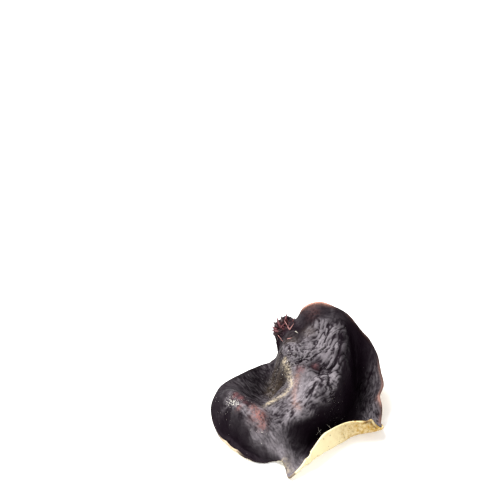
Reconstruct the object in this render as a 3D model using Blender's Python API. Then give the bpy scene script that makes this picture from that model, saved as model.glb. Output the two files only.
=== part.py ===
"""A dried wood ear mushroom, lying as picked: one thin, leathery ear that curled as it dried.

The ear is one sheet. Its smooth upper side is almost black, and its back and margin are pale felt.
It is modelled in its own frame: metres, +Z up, the front of the ear towards -Y, the surface that it
lies on at Z = 0, and the origin on that surface at the middle of the ear's box.
"""

import bpy
import numpy as np

MM = 0.001

# Driving sizes, in millimetres
SHEET_THICKNESS = 1.5
MARGIN_THICKNESS = 0.9
THINNING_WIDTH = 9.0
STUB_EXTRA_THICKNESS = 1.6
STUB_RADIUS = 4.5
LOWEST_MIDDLE = 0.6
SETTLING = 0.4
TURN_LENGTH = 4.5
EDGE_BULGE = 0.36
LOWEST_EDGE = 0.22

# How finely the sheet is divided, and how its cells are evened out
CELLS_ACROSS = 47
ROLL_STEPS = 24
EVENING_ROUNDS = 3
EVENING_FLOOR = 0.5
SMOOTHING_ROUNDS = 4
POINTS_PER_STRETCH = 12

# How the sheet is laid through its spots and folds
SPOT_SLACK = 0.05
BROADENING = 0.5
BROADENING_STEPS = 8
OUTLINE_POWER = 4
SLOPE_RUN = 0.5
TURN_SHARE = 0.6
FOLD_END = 0.12
SIDE_BLEND = 0.8

# The middle that the margin is laid out around
MIDDLE = (6.0, 5.0)

# The margin, clockwise seen from above, starting at the stub by which the ear grew on its branch.
# Each row: x, y, height of the sheet, width of the rim beyond it, degrees that the rim turns up
MARGIN = (
    (-9.0, 30.2, 20.2, 1.0, 0),
    (-7.8, 34.0, 22.2, 1.0, 0),
    (-4.6, 36.6, 23.2, 1.0, 0),
    (-0.8, 34.0, 23.4, 1.2, 0),
    (2.8, 36.2, 27.0, 1.6, 10),
    (9.2, 37.2, 29.6, 1.8, 15),
    (16.4, 35.6, 28.0, 1.8, 15),
    (24.0, 33.4, 22.8, 1.8, 10),
    (30.2, 28.2, 17.4, 1.8, 10),
    (33.2, 22.0, 14.6, 1.8, 10),
    (34.4, 12.8, 12.0, 1.8, 10),
    (35.2, 6.6, 10.0, 1.6, 10),
    (33.6, 1.6, 8.4, 1.2, 5),
    (34.2, -2.4, 6.4, 1.2, 5),
    (33.6, -6.2, 3.0, 1.2, 5),
    (32.6, -8.4, 1.6, 1.4, 10),
    (31.2, -8.8, 1.4, 8.8, 82),
    (26.6, -9.8, 1.1, 9.2, 82),
    (21.6, -12.2, 0.8, 9.8, 81),
    (15.4, -17.4, 0.6, 10.2, 80),
    (9.2, -21.8, 0.6, 10.2, 80),
    (4.0, -26.2, 0.6, 8.6, 80),
    (0.2, -30.6, 0.5, 5.4, 80),
    (-1.2, -33.0, 0.5, 3.0, 70),
    (-2.4, -35.0, 0.5, 0.6, 10),
    (-4.2, -31.2, 0.7, 0.9, 0),
    (-8.6, -27.2, 0.7, 1.2, -10),
    (-14.0, -26.9, 0.7, 1.4, 0),
    (-18.8, -25.6, 0.7, 1.6, 30),
    (-23.4, -22.2, 0.7, 1.8, 45),
    (-28.0, -17.2, 0.9, 1.8, 45),
    (-32.0, -11.0, 2.2, 1.8, 30),
    (-34.0, -6.8, 4.6, 1.8, 20),
    (-34.6, -2.4, 8.0, 1.8, 10),
    (-33.0, 1.6, 10.4, 1.6, 0),
    (-29.6, 6.4, 10.5, 1.6, 0),
    (-25.0, 12.0, 9.0, 1.6, 10),
    (-20.0, 16.6, 8.6, 1.6, 15),
    (-15.0, 19.8, 9.0, 1.4, 10),
    (-11.2, 21.2, 10.8, 1.0, 0),
    (-8.9, 24.0, 14.8, 0.8, 0),
)

# Heights of the sheet at spots inside the margin, by the form that they lie on: x, y, height
RIDGE_SPOTS = (
    (-6.2, 24.5, 20.2),
    (-5.4, 16.9, 19.6),
    (-4.2, 11.5, 18.8),
    (-2.2, 5.9, 17.2),
    (-2.2, 1.6, 15.6),
    (-5.0, -1.6, 13.6),
    (-9.6, -4.8, 11.6),
)
CREST_SPOTS = (
    (-14.0, -8.2, 11.4),
    (-18.8, -7.0, 12.9),
    (-23.0, -5.0, 13.8),
    (-27.0, -2.8, 13.8),
    (-30.4, -1.0, 12.4),
)
HOLLOW_SPOTS = (
    (-14.6, 9.6, 0.3),
    (-16.8, 14.5, 3.8),
    (-10.8, 12.0, 2.6),
    (-12.6, 17.2, 7.0),
    (-21.6, 8.0, 5.2),
    (-8.8, 18.0, 9.8),
    (-8.4, 6.0, 5.6),
    (-14.4, 4.4, 0.9),
    (-20.6, 2.0, 6.0),
    (-11.8, -0.6, 6.0),
)
SWELL_SPOTS = (
    (9.2, 31.0, 24.6),
    (3.0, 30.0, 22.6),
    (7.2, 24.3, 22.6),
    (0.4, 21.0, 21.6),
    (6.0, 15.9, 21.6),
    (8.6, 9.0, 20.8),
    (3.0, 8.0, 20.4),
    (3.4, 1.3, 18.6),
    (1.2, -4.9, 16.0),
    (-2.8, -10.6, 13.4),
    (-7.6, -14.9, 12.0),
    (-11.8, -18.0, 10.9),
)
BROW_SPOTS = (
    (19.6, 30.2, 23.0),
    (19.4, 23.4, 22.2),
    (19.4, 16.0, 21.2),
    (18.6, 8.2, 19.6),
    (16.4, 0.8, 17.6),
    (12.6, -4.4, 15.6),
    (7.2, -9.2, 13.6),
    (1.8, -12.8, 11.9),
    (-3.0, -16.6, 10.4),
    (13.0, 24.0, 22.8),
    (13.4, 16.5, 21.7),
    (12.6, 3.6, 18.6),
)
VALLEY_SPOTS = (
    (25.0, 27.6, 12.6),
    (24.6, 22.2, 7.0),
    (24.0, 15.0, 3.0),
    (23.0, 7.2, 0.9),
    (20.4, -0.6, 0.4),
    (15.4, -7.0, 0.3),
    (9.0, -14.0, 0.3),
    (4.2, -20.2, 0.4),
    (0.4, -27.6, 0.6),
)
FLANK_SPOTS = (
    (28.6, 20.6, 8.4),
    (28.8, 12.6, 5.2),
    (28.0, 3.6, 2.4),
    (31.8, 8.0, 6.9),
    (30.8, -2.4, 3.2),
    (26.4, -5.0, 0.9),
    (20.8, -8.2, 0.4),
)
FRONT_SPOTS = (
    (-26.0, -8.0, 12.4),
    (-22.8, -11.2, 12.4),
    (-20.0, -15.2, 11.2),
    (-17.4, -18.6, 9.8),
    (-13.6, -21.4, 8.0),
    (-9.0, -23.8, 6.2),
    (-5.0, -27.4, 3.4),
    (-6.4, -20.2, 7.2),
    (-2.4, -22.4, 3.2),
    (-29.4, -10.4, 5.2),
    (-26.2, -14.0, 3.0),
    (-23.6, -17.2, 2.0),
    (-20.8, -20.4, 1.5),
    (-16.4, -23.8, 1.2),
    (-11.0, -25.6, 1.1),
)
SPOTS = (
    RIDGE_SPOTS + CREST_SPOTS + HOLLOW_SPOTS + SWELL_SPOTS + BROW_SPOTS
    + VALLEY_SPOTS + FLANK_SPOTS + FRONT_SPOTS
)

# Where the sheet leans over: x, y, how far it leans in x and y, and how wide that reaches
LEANS = (
    (19.0, 26.0, 1.2, 0.2, 5.0),
    (19.2, 17.0, 1.8, 0.0, 5.0),
    (18.0, 8.2, 2.0, -0.6, 5.0),
    (14.2, -0.8, 1.6, -1.4, 5.0),
    (7.4, -8.2, 0.8, -1.4, 5.0),
    (-0.8, -14.4, 0.4, -1.0, 4.0),
    (-4.0, 8.0, -1.6, -0.4, 4.0),
    (-5.6, 16.0, -1.2, 0.0, 4.0),
    (-6.0, -2.0, -1.0, 1.2, 4.0),
    (-23.0, -12.6, -1.2, -1.0, 3.6),
    (-19.0, -18.4, -1.3, -0.9, 3.6),
    (-13.6, -23.2, -0.7, -1.1, 3.4),
)

# Folds: a line of points, its lift, and how soon it falls away on its left and on its right
BROW_FOLD = (
    ((21.0, 33.0), (20.8, 25.0), (20.8, 17.0), (19.8, 8.8), (17.2, 1.0), (13.2, -4.6),
     (7.7, -9.8), (1.8, -13.8), (-3.8, -17.4), (-9.0, -20.2)), 1.2, 1.1, 2.2)
RIDGE_FOLD = (
    ((-6.2, 27.0), (-6.0, 17.0), (-4.8, 11.2), (-2.6, 6.2), (-2.2, 1.6), (-5.2, -2.6),
     (-9.8, -5.8), (-14.6, -8.4)), 1.5, 2.2, 1.2)
CREST_FOLD = (
    ((-9.0, -9.4), (-14.6, -8.4), (-19.0, -6.8), (-23.0, -4.8), (-27.0, -2.8), (-32.0, -0.8)),
    1.2, 1.6, 1.2)
KEEL_FOLD = (
    ((-28.4, -6.4), (-23.6, -11.8), (-20.8, -16.2), (-18.0, -19.8), (-13.8, -22.8),
     (-9.2, -25.0), (-5.6, -28.2), (-3.0, -33.4)), 2.2, 1.8, 0.9)
HOOKED_CREASE = ((14.2, 4.8), (10.6, 6.4), (8.4, 4.2), (6.4, 0.6), (3.6, -2.8)), -0.9, 0.8, 1.2
PIT_CREASE = ((0.6, 10.0), (3.4, 11.6), (6.6, 10.2), (8.4, 8.2)), -0.7, 0.9, 0.9
UPPER_WRINKLE = ((3.0, 13.0), (7.0, 15.6), (11.2, 21.0), (14.0, 27.6)), 0.6, 1.2, 1.2
LOWER_WRINKLE = ((6.8, 11.8), (11.6, 12.6), (15.0, 17.4), (16.2, 23.6)), 0.6, 1.2, 1.2
MIDDLE_WRINKLE = ((-2.6, 15.8), (2.8, 19.0), (6.8, 24.8), (9.0, 30.6)), 0.5, 1.3, 1.3
FOLDS = (
    BROW_FOLD, RIDGE_FOLD, CREST_FOLD, KEEL_FOLD, HOOKED_CREASE, PIT_CREASE,
    UPPER_WRINKLE, LOWER_WRINKLE, MIDDLE_WRINKLE,
)

UPPER_COLOUR = (0.018, 0.012, 0.014, 1.0)
UPPER_ROUGHNESS = 0.5
BACK_COLOUR = (0.52, 0.40, 0.22, 1.0)
BACK_ROUGHNESS = 0.95


def ease(x):
    """0 below 0, 1 above 1, and a smooth rise between them."""
    x = np.clip(x, 0.0, 1.0)
    return x * x * (3.0 - 2.0 * x)


def round_trip(knots, values, at, kept_within=False):
    """A closed smooth curve through values at rising angles, by cubic pieces.

    The slope at a value is the three-point one. Where the curve is kept within its values, it is the
    harmonic mean of the slopes on its two sides instead, and level where the values turn back.
    """
    order = np.argsort(knots)
    knots, values = knots[order], values[order]
    gap = np.diff(knots, append=knots[0] + 2 * np.pi)
    before = np.roll(gap, 1)
    rise = (np.roll(values, -1) - values) / gap
    risen = np.roll(rise, 1)
    if kept_within:
        goes_on = rise * risen > 0
        slope = np.where(goes_on, 2 * rise * risen / np.where(goes_on, rise + risen, 1.0), 0.0)
    else:
        slope = (rise * before + risen * gap) / (gap + before)
    at = knots[0] + np.mod(at - knots[0], 2 * np.pi)
    first = np.clip(np.searchsorted(knots, at, side="right") - 1, 0, len(knots) - 1)
    last = (first + 1) % len(knots)
    t = (at - knots[first]) / gap[first]
    return (
        values[first] * (1 + 2 * t) * (1 - t) ** 2
        + values[last] * t ** 2 * (3 - 2 * t)
        + slope[first] * gap[first] * t * (1 - t) ** 2
        - slope[last] * gap[first] * t ** 2 * (1 - t)
    )


def bending_height(x, y, knots):
    """The height of a thin bent plate at (x, y), where knots of (x, y, weight) hold it: r * r * log(r)."""
    centres, weights = knots
    squared = (x[..., None] - centres[:, 0]) ** 2 + (y[..., None] - centres[:, 1]) ** 2
    bend = 0.5 * squared * np.log(squared + 1e-9)
    return bend @ weights[:-3] + weights[-3] + weights[-2] * x + weights[-1] * y


def bend_plate(spots):
    """The weights that bend a thin plate through the spots, with a little slack."""
    centres = spots[:, :2]
    count = len(spots)
    squared = ((centres[:, None] - centres[None]) ** 2).sum(axis=2)
    square = np.zeros((count + 3, count + 3))
    square[:count, :count] = 0.5 * squared * np.log(squared + 1e-9) + SPOT_SLACK * np.eye(count)
    square[:count, count] = 1.0
    square[:count, count + 1:] = centres
    square[count:, :count] = square[:count, count:].T
    heights = np.concatenate([spots[:, 2], np.zeros(3)])
    return centres, np.linalg.solve(square, heights)


def smooth_path(points):
    """A curve through the points, at short even steps of its own cubic pieces."""
    points = np.array(points, float)
    ends = np.concatenate([2 * points[:1] - points[1:2], points, 2 * points[-1:] - points[-2:-1]])
    t = (np.arange(POINTS_PER_STRETCH) / POINTS_PER_STRETCH)[:, None]
    stretches = [
        0.5 * (
            2 * b + (c - a) * t + (2 * a - 5 * b + 4 * c - d) * t ** 2
            + (3 * b - a - 3 * c + d) * t ** 3
        )
        for a, b, c, d in zip(ends[:-3], ends[1:-2], ends[2:-1], ends[3:])
    ]
    return np.concatenate(stretches + [points[-1:]])


def fold_lift(x, y, fold):
    """How much a fold lifts the sheet at (x, y): lift / cosh(distance / width), less at its ends.

    The width goes smoothly from the one on its left to the one on its right across the line.
    """
    points, lift, left_width, right_width = fold
    path = smooth_path(points)
    step = np.gradient(path, axis=0)
    length = np.linalg.norm(step, axis=1)
    ahead = step / length[:, None]
    dx = x[..., None] - path[:, 0]
    dy = y[..., None] - path[:, 1]
    near = np.argmin(dx ** 2 + dy ** 2, axis=-1)
    dx = np.take_along_axis(dx, near[..., None], axis=-1)[..., 0]
    dy = np.take_along_axis(dy, near[..., None], axis=-1)[..., 0]
    along = ahead[near, 0] * dx + ahead[near, 1] * dy
    side = ahead[near, 0] * dy - ahead[near, 1] * dx
    share = (near + along / length[near]) / (len(path) - 1)
    width = right_width + (left_width - right_width) * ease(0.5 + 0.5 * side / SIDE_BLEND)
    fade = ease(share / FOLD_END) * ease((1.0 - share) / FOLD_END)
    return lift * fade / np.cosh(np.clip(side / width, -50.0, 50.0))


def on_disc(across, along):
    """A point of the square from -1 to 1 pressed into a disc: its angle and its reach."""
    x = across * np.sqrt(1.0 - 0.5 * along ** 2)
    y = along * np.sqrt(1.0 - 0.5 * across ** 2)
    return np.arctan2(y, x), np.hypot(x, y)


def evened_grid(count):
    """A grid over the square, moved along its rows and columns until the sheet's cells are alike."""
    line = np.linspace(-1.0, 1.0, count)
    places = np.stack(np.meshgrid(line, line, indexing="ij"), axis=-1)
    for turn in range(EVENING_ROUNDS * 2):
        middle = sheet(*on_disc(places[..., 0], places[..., 1]))[0]
        if turn % 2:
            places, middle = places.swapaxes(0, 1), middle.swapaxes(0, 1)
        step = np.linalg.norm(np.diff(middle, axis=1), axis=-1)
        step = step + EVENING_FLOOR * step.mean(axis=1, keepdims=True)
        walked = np.concatenate([np.zeros((count, 1)), np.cumsum(step, axis=1)], axis=1)
        walked /= walked[:, -1:]
        even = np.linspace(0.0, 1.0, count)
        places = np.array([
            np.stack([np.interp(even, w, row[:, 0]), np.interp(even, w, row[:, 1])], axis=-1)
            for w, row in zip(walked, places)
        ])
        for _ in range(SMOOTHING_ROUNDS):
            around = places[2:, 1:-1] + places[:-2, 1:-1] + places[1:-1, 2:] + places[1:-1, :-2]
            places[1:-1, 1:-1] = 0.5 * places[1:-1, 1:-1] + 0.125 * around
        if turn % 2:
            places = places.swapaxes(0, 1)
    return places[..., 0], places[..., 1]


def sheet(angle, reach):
    """The middle of the sheet at an angle and a reach from 0 to 1, with its distance in from the edge.

    Up to the margin it is a bent plate. Past the margin it rolls: each step goes on square to the
    margin, along a heading that has turned up by that rim's angle. The outline's notches and corners
    fade towards the middle.
    """
    rows = np.array(MARGIN)
    away = rows[:, :2] - MIDDLE
    knots = np.arctan2(away[:, 1], away[:, 0])
    far = np.hypot(away[:, 0], away[:, 1])
    radius = round_trip(knots, far, angle)
    rim = round_trip(knots, rows[:, 3], angle, kept_within=True)
    turn = np.radians(round_trip(knots, rows[:, 4], angle, kept_within=True))
    ahead = np.roll(rows[:, :2], -1, axis=0) - np.roll(rows[:, :2], 1, axis=0)
    askew = np.arctan2(ahead[:, 0], -ahead[:, 1]) - knots
    askew = np.mod(askew + np.pi, 2 * np.pi) - np.pi
    square = angle + round_trip(knots, askew, angle, kept_within=True)
    offsets = np.arange(1 - BROADENING_STEPS, BROADENING_STEPS) / BROADENING_STEPS
    shares = 1.0 + np.cos(np.pi * offsets)
    broad = sum(
        share * round_trip(knots, far + rows[:, 3], angle + offset * BROADENING)
        for share, offset in zip(shares / shares.sum(), offsets)
    )
    plate = bend_plate(np.concatenate([rows[:, :3], np.array(SPOTS)]))
    full = radius + rim
    run = reach * (broad + (full - broad) * reach ** OUTLINE_POWER)
    inside = np.minimum(run, radius)
    past = run - inside
    out_x, out_y = np.cos(angle), np.sin(angle)
    x = MIDDLE[0] + inside * out_x
    y = MIDDLE[1] + inside * out_y
    z = bending_height(x, y, plate) + sum(fold_lift(x, y, fold) for fold in FOLDS)
    edge_x = MIDDLE[0] + radius * out_x
    edge_y = MIDDLE[1] + radius * out_y
    rise = (
        bending_height(edge_x, edge_y, plate)
        - bending_height(edge_x - SLOPE_RUN * out_x, edge_y - SLOPE_RUN * out_y, plate)
    )
    start = np.arctan(rise / SLOPE_RUN)
    out_x, out_y = np.cos(square), np.sin(square)
    for lean_x, lean_y, push_x, push_y, lean_width in LEANS:
        near = np.exp(-((x - lean_x) ** 2 + (y - lean_y) ** 2) / lean_width ** 2)
        x, y = x + push_x * near, y + push_y * near
    turn_length = np.minimum(TURN_LENGTH, TURN_SHARE * rim)
    for step in range(ROLL_STEPS):
        here = past * (step + 0.5) / ROLL_STEPS
        heading = start + turn * ease(here / turn_length)
        x = x + np.cos(heading) * out_x * past / ROLL_STEPS
        y = y + np.cos(heading) * out_y * past / ROLL_STEPS
        z = z + np.sin(heading) * past / ROLL_STEPS
    above = z - LOWEST_MIDDLE
    z = LOWEST_MIDDLE + 0.5 * (above + np.sqrt(above ** 2 + SETTLING ** 2))
    return np.stack([x, y, z], axis=-1), full - run


def corner_normals(points):
    """A unit normal at each point of the grid: the sum of the normals of the cells around it."""
    first = points[1:, 1:] - points[:-1, :-1]
    second = points[:-1, 1:] - points[1:, :-1]
    cell = np.cross(first, second)
    total = np.zeros_like(points)
    total[:-1, :-1] += cell
    total[1:, :-1] += cell
    total[:-1, 1:] += cell
    total[1:, 1:] += cell
    return total / np.linalg.norm(total, axis=-1, keepdims=True)


def both_sides(cells):
    """The upper side and the back, as grids of points half the thickness off the sheet's middle."""
    angle, reach = on_disc(*evened_grid(cells + 1))
    middle, inset = sheet(angle, reach)
    normal = corner_normals(middle)
    stub = np.array(MARGIN[0][:2])
    near_stub = np.exp(-((middle[..., :2] - stub) ** 2).sum(axis=-1) / STUB_RADIUS ** 2)
    thick = MARGIN_THICKNESS + (SHEET_THICKNESS - MARGIN_THICKNESS) * ease(inset / THINNING_WIDTH)
    half = (0.5 * (thick + STUB_EXTRA_THICKNESS * near_stub))[..., None]
    upper = middle + normal * half
    back = middle - normal * half
    upper[..., 2] = np.maximum(upper[..., 2], 0.5 * MARGIN_THICKNESS)
    back[..., 2] = np.maximum(back[..., 2], 0.0)
    return upper, back


def rim_loop(count):
    """The grid places around the square's border, in order, each once."""
    last = count - 1
    steps = np.arange(last)
    zero = np.zeros(last, int)
    rows = np.concatenate([steps, zero + last, last - steps, zero])
    columns = np.concatenate([zero, steps, zero + last, last - steps])
    return rows, columns


def closed_ear(cells):
    """Points and faces of the whole ear, upper faces first: two grids joined by a rounded edge."""
    upper, back = both_sides(cells)
    count = cells + 1
    rows, columns = rim_loop(count)
    top_edge, low_edge = upper[rows, columns], back[rows, columns]
    between = 0.5 * (top_edge + low_edge)
    inward = 0.5 * (upper + back)[np.clip(rows, 1, cells - 1), np.clip(columns, 1, cells - 1)]
    outward = between - inward
    across = top_edge - low_edge
    across /= np.linalg.norm(across, axis=1, keepdims=True)
    outward -= (outward * across).sum(axis=1, keepdims=True) * across
    outward /= np.linalg.norm(outward, axis=1, keepdims=True)
    bulge = between + EDGE_BULGE * outward
    bulge[:, 2] = np.maximum(bulge[:, 2], LOWEST_EDGE)
    points = np.concatenate([upper.reshape(-1, 3), back.reshape(-1, 3), bulge])
    place = np.arange(count * count).reshape(count, count)
    a, b, c, d = place[:-1, :-1], place[1:, :-1], place[1:, 1:], place[:-1, 1:]
    top = np.stack([a, b, c, d], axis=-1).reshape(-1, 4)
    low = top[:, ::-1] + count * count
    ring = place[rows, columns]
    after = np.roll(ring, -1)
    mid = 2 * count * count + np.arange(len(ring))
    mid_after = np.roll(mid, -1)
    high_strip = np.stack([after, ring, mid, mid_after], axis=1)
    low_strip = np.stack([mid_after, mid, ring + count * count, after + count * count], axis=1)
    return points, np.concatenate([top, low, high_strip, low_strip]), len(top)


def split_cells(points, cells):
    """Each four-cornered cell as two triangles, parted along its shorter diagonal."""
    a, b, c, d = cells.T
    first = np.linalg.norm(points[a] - points[c], axis=1)
    second = np.linalg.norm(points[b] - points[d], axis=1)
    along_first = np.stack([a, b, c, a, c, d], axis=1)
    along_second = np.stack([a, b, d, b, c, d], axis=1)
    return np.where((first <= second)[:, None], along_first, along_second).reshape(-1, 3)


def plain_material(name, colour, roughness):
    material = bpy.data.materials.new(name)
    material.use_nodes = True
    shader = material.node_tree.nodes["Principled BSDF"]
    shader.inputs["Base Color"].default_value = colour
    shader.inputs["Roughness"].default_value = roughness
    material.diffuse_color = colour
    return material


def make_ear():
    """The ear as one object, moved sideways so that the middle of its box is at the origin."""
    points, cells, upper_cells = closed_ear(CELLS_ACROSS)
    low, high = points.min(axis=0), points.max(axis=0)
    points[:, :2] -= 0.5 * (low + high)[:2]
    faces = split_cells(points, cells)
    mesh = bpy.data.meshes.new("wood_ear")
    mesh.from_pydata((points * MM).tolist(), [], faces.tolist())
    mesh.materials.append(plain_material("ear_upper_side", UPPER_COLOUR, UPPER_ROUGHNESS))
    mesh.materials.append(plain_material("ear_felt_back", BACK_COLOUR, BACK_ROUGHNESS))
    side = np.ones(len(faces), np.int32)
    side[:2 * upper_cells] = 0
    mesh.polygons.foreach_set("material_index", side)
    mesh.shade_smooth()
    mesh.update()
    ear = bpy.data.objects.new("wood_ear", mesh)
    bpy.context.scene.collection.objects.link(ear)
    return ear


def main():
    for leftover in list(bpy.data.objects):
        bpy.data.objects.remove(leftover, do_unlink=True)
    make_ear()


main()
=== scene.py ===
"""The looks of a dried wood ear mushroom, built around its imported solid.

The ear is one curled sheet. Its wrinkled upper side is almost black, and its back and its margin are
pale felt. It keeps the form of its solid, on a much finer grid, with the wrinkles, the torn stub, the
felt's hairs and the dust added. Forms are given in millimetres, in the frame that the sheet's spots are
measured in. The sheet is then moved so that the middle of its box is at the origin, as in the solid.
"""

from functools import lru_cache

import bpy
import numpy as np
from bpy.props import FloatProperty, FloatVectorProperty, IntProperty, PointerProperty
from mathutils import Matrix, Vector


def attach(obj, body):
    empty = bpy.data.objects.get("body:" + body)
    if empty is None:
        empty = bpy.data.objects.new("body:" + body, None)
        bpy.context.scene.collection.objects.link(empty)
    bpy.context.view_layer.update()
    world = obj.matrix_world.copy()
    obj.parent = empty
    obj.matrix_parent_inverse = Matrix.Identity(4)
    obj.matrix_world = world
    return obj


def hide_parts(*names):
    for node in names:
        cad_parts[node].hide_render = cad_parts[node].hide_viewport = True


bl_info = {
    "name": "Dried wood ear mushroom",
    "version": (1, 0, 0),
    "blender": (4, 5, 0),
    "location": "3D View > Sidebar > Wood ear",
    "description": "Makes a dried wood ear mushroom with its wrinkles, felt, torn stub and dust",
    "category": "Add Mesh",
}

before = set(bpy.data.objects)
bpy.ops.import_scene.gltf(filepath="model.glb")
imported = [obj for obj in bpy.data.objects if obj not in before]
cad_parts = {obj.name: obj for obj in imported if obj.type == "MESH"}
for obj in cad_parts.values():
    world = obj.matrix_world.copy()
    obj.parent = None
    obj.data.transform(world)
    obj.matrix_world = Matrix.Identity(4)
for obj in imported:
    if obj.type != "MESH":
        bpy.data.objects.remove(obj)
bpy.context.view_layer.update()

MM = 0.001

# The sheet's driving sizes, in millimetres, as its solid has them
SHEET_THICKNESS = 1.5
MARGIN_THICKNESS = 0.9
THINNING_WIDTH = 9.0
STUB_EXTRA_THICKNESS = 1.6
LOWEST_MIDDLE = 0.6
SETTLING = 0.4
TURN_LENGTH = 4.5
TURN_SHARE = 0.6
LOWEST_EDGE = 0.22
EDGE_ROUNDING = 0.45
SLOPE_RUN = 0.5
ROLL_STEPS = 24

# How its grid is laid out and evened, and where its cells are finer
COARSE_CELLS = 54
EVENING_ROUNDS = 3
EVENING_FLOOR = 0.5
SMOOTHING_ROUNDS = 4
NORMAL_ROUNDS = 3
FINER_PLACE = (9.0, 11.0)
FINER_REACH = 19.0
FINER_SHARE = 0.9

# How its outline, plate and folds are smoothed
BROADENING = 0.5
BROADENING_STEPS = 8
OUTLINE_POWER = 4
SOFTENING = (-0.05, -0.025, 0.0, 0.025, 0.05)
SPOT_SLACK = 0.05
POINTS_PER_STRETCH = 12
FOLD_END = 0.12
SHADE_END = 0.08
SIDE_BLEND = 0.8

# Where the turned-up rim's edge runs along a calmer line, in degrees around the middle, over how many
# degrees and at what steps it is evened, and how far in from the edge that reaches
CALM_FROM = -98.0
CALM_TO = -31.0
CALM_FADE = 7.0
CALM_SPREAD = 4.5
CALM_STEP = 0.5
CALM_STEPS = 30
CALM_RUN = 8.0

# The broad and the fine wrinkles. Each row: their share of the heights measured for them, how fine
# their noise is, what it starts from, and how far it is drawn out along the skin
WRINKLES = (
    (0.9, 1.15, 11, 2.8),
    (0.65, 0.6, 23, 1.7),
)

# How the skin's spots blend, how the wrinkles are drawn out and waver, how their ridges are capped and
# sharpened, how much is left of them at the edge, and how ragged the crumbs, the stub and the back are
SKIN_REACH = 1.2
STREAK_STEPS = 12
CRUMB_LATTICE = 0.6
WAVINESS = 0.55
WAVE_LATTICE = 3.2
RIDGE_CAP = 1.8
RIDGE_POWER = 0.8
RIDGE_MEAN = 0.75
EDGE_RELIEF = 0.25
EDGE_RELIEF_WIDTH = 2.0
TORN_LATTICE = 1.2
TORN_HEIGHT = 1.1
BACK_LATTICE = 0.9
BACK_GRAIN = 0.05

# How wide the pale edge is, and how the felt darkens towards the right
EDGE_WIDTH = 0.5
OCHRE_SHARE = 1.2
OCHRE_FROM = 8.0
OCHRE_RUN = 26.0

# What each other pattern of chance starts from, and how its numbers are mixed
WAVE_SEED = 7
CRUMB_SEED = 51
BACK_SEED = 37
TORN_SEEDS = (61, 62, 63)
HAIR_SEED = 5
SHRED_SEED = 9
DUST_SEED = 13
GRAIN_SEED = 17
LOW_BITS = 0x7FFFFFFF
BIT_MIXER = 0x45D9F3B
LATTICE_PRIMES = (73856093, 19349663, 83492791)

# The felt's hairs, in millimetres: their shares on the back and on the felted rim, how much they tilt
# and sag, their lengths as shares of the setting, their width, and how deep they stand
HAIRS_ON_BACK = 0.25
HAIRS_ON_RIM = 2.5
HAIR_TILT = 0.55
HAIR_SAG = 0.25
HAIR_LENGTHS = (0.5, 1.3)
HAIR_WIDTH = 0.025
HAIR_ROOT = 0.03
POINTS_PER_HAIR = 4

# The stub's shreds, in millimetres: how many there are, which way they stand, how much they tilt and
# sag, their sizes, how deep they stand, and how many of them are red. Strands of all kinds: how they
# taper, and a direction that none of them runs along
SHREDS = 90
SHRED_WAY = (-0.6, 0.6, 0.55)
SHRED_TILT = 0.6
SHRED_SAG = 0.35
SHRED_LENGTHS = (0.9, 2.4)
SHRED_WIDTHS = (0.20, 0.60)
SHRED_ROOT = 0.2
SHRED_RINGS = 5
RED_SHREDS = 0.3
STRAND_TAPER = 0.7
ASIDE = (0.31, 0.17, 0.93)
TORN_MATERIALS = (
    ("torn_dark", (0.030, 0.007, 0.010), 0.7),
    ("torn_red", (0.12, 0.022, 0.028), 0.7),
    ("torn_pink", (0.52, 0.24, 0.22), 0.6),
    ("fibre", (0.60, 0.55, 0.46), 0.7),
)

# The dust, in millimetres: its share away from its patches, how far it lies off the skin, its sizes,
# the number and sizes of the larger bright grains, how rough all are, and how low small things may lie
DUST_ANYWHERE = 0.005
DUST_LIFT = 0.06
DUST_RADII = (0.04, 0.11)
SPARKS = 48
SPARK_RADII = (0.16, 0.33)
GRAIN_ROUGHNESS = (0.5, 1.2)
LOWEST_BIT = 0.02

# Colours that no setting changes
WINE_COLOUR = (0.115, 0.040, 0.044)
PINK_COLOUR = (0.42, 0.24, 0.19)
BROWN_COLOUR = (0.30, 0.22, 0.12)
TORN_COLOUR = (0.022, 0.005, 0.007)
# Painted glow of light shining through the thin margin's edge, partly its own reddish tone
GLOW_COLOUR = (0.50, 0.26, 0.20)
DOT_COLOUR = (0.16, 0.10, 0.05)
STAIN_COLOUR = (0.10, 0.055, 0.03)
BARE_COLOUR = (0.014, 0.007, 0.010)
# The bare edge's painted glow of light through the thin margin, partly its own reddish tone
BARE_GLOW_COLOUR = (0.60, 0.33, 0.26)
BARE_TAN_COLOUR = (0.55, 0.43, 0.30)
DUST_COLOUR = (0.82, 0.78, 0.70)

# The stage, in metres and degrees. Each light has its place, its size and its power
FLOOR_REACH = 4.0
FLOOR_HEIGHT = -0.00008
AIR_STRENGTH = 0.50
LIGHTS = (
    ("softbox_left", (-0.30, 0.24, 0.50), 0.45, 10.0),
    ("fill_front", (0.25, -0.60, 0.35), 0.50, 2.5),
)
SENSOR_WIDTH = 36.0
LENS = 74.45
CAMERA_PLACE = (0.0011, -0.3257, 0.3063)
CAMERA_TURN = (55.717, 1.591, 2.263)

# The middle that the margin is laid out around, and the middle of the solid's box
MIDDLE = (6.0, 5.0)
BOX_MIDDLE = (0.119, 1.280)

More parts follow.
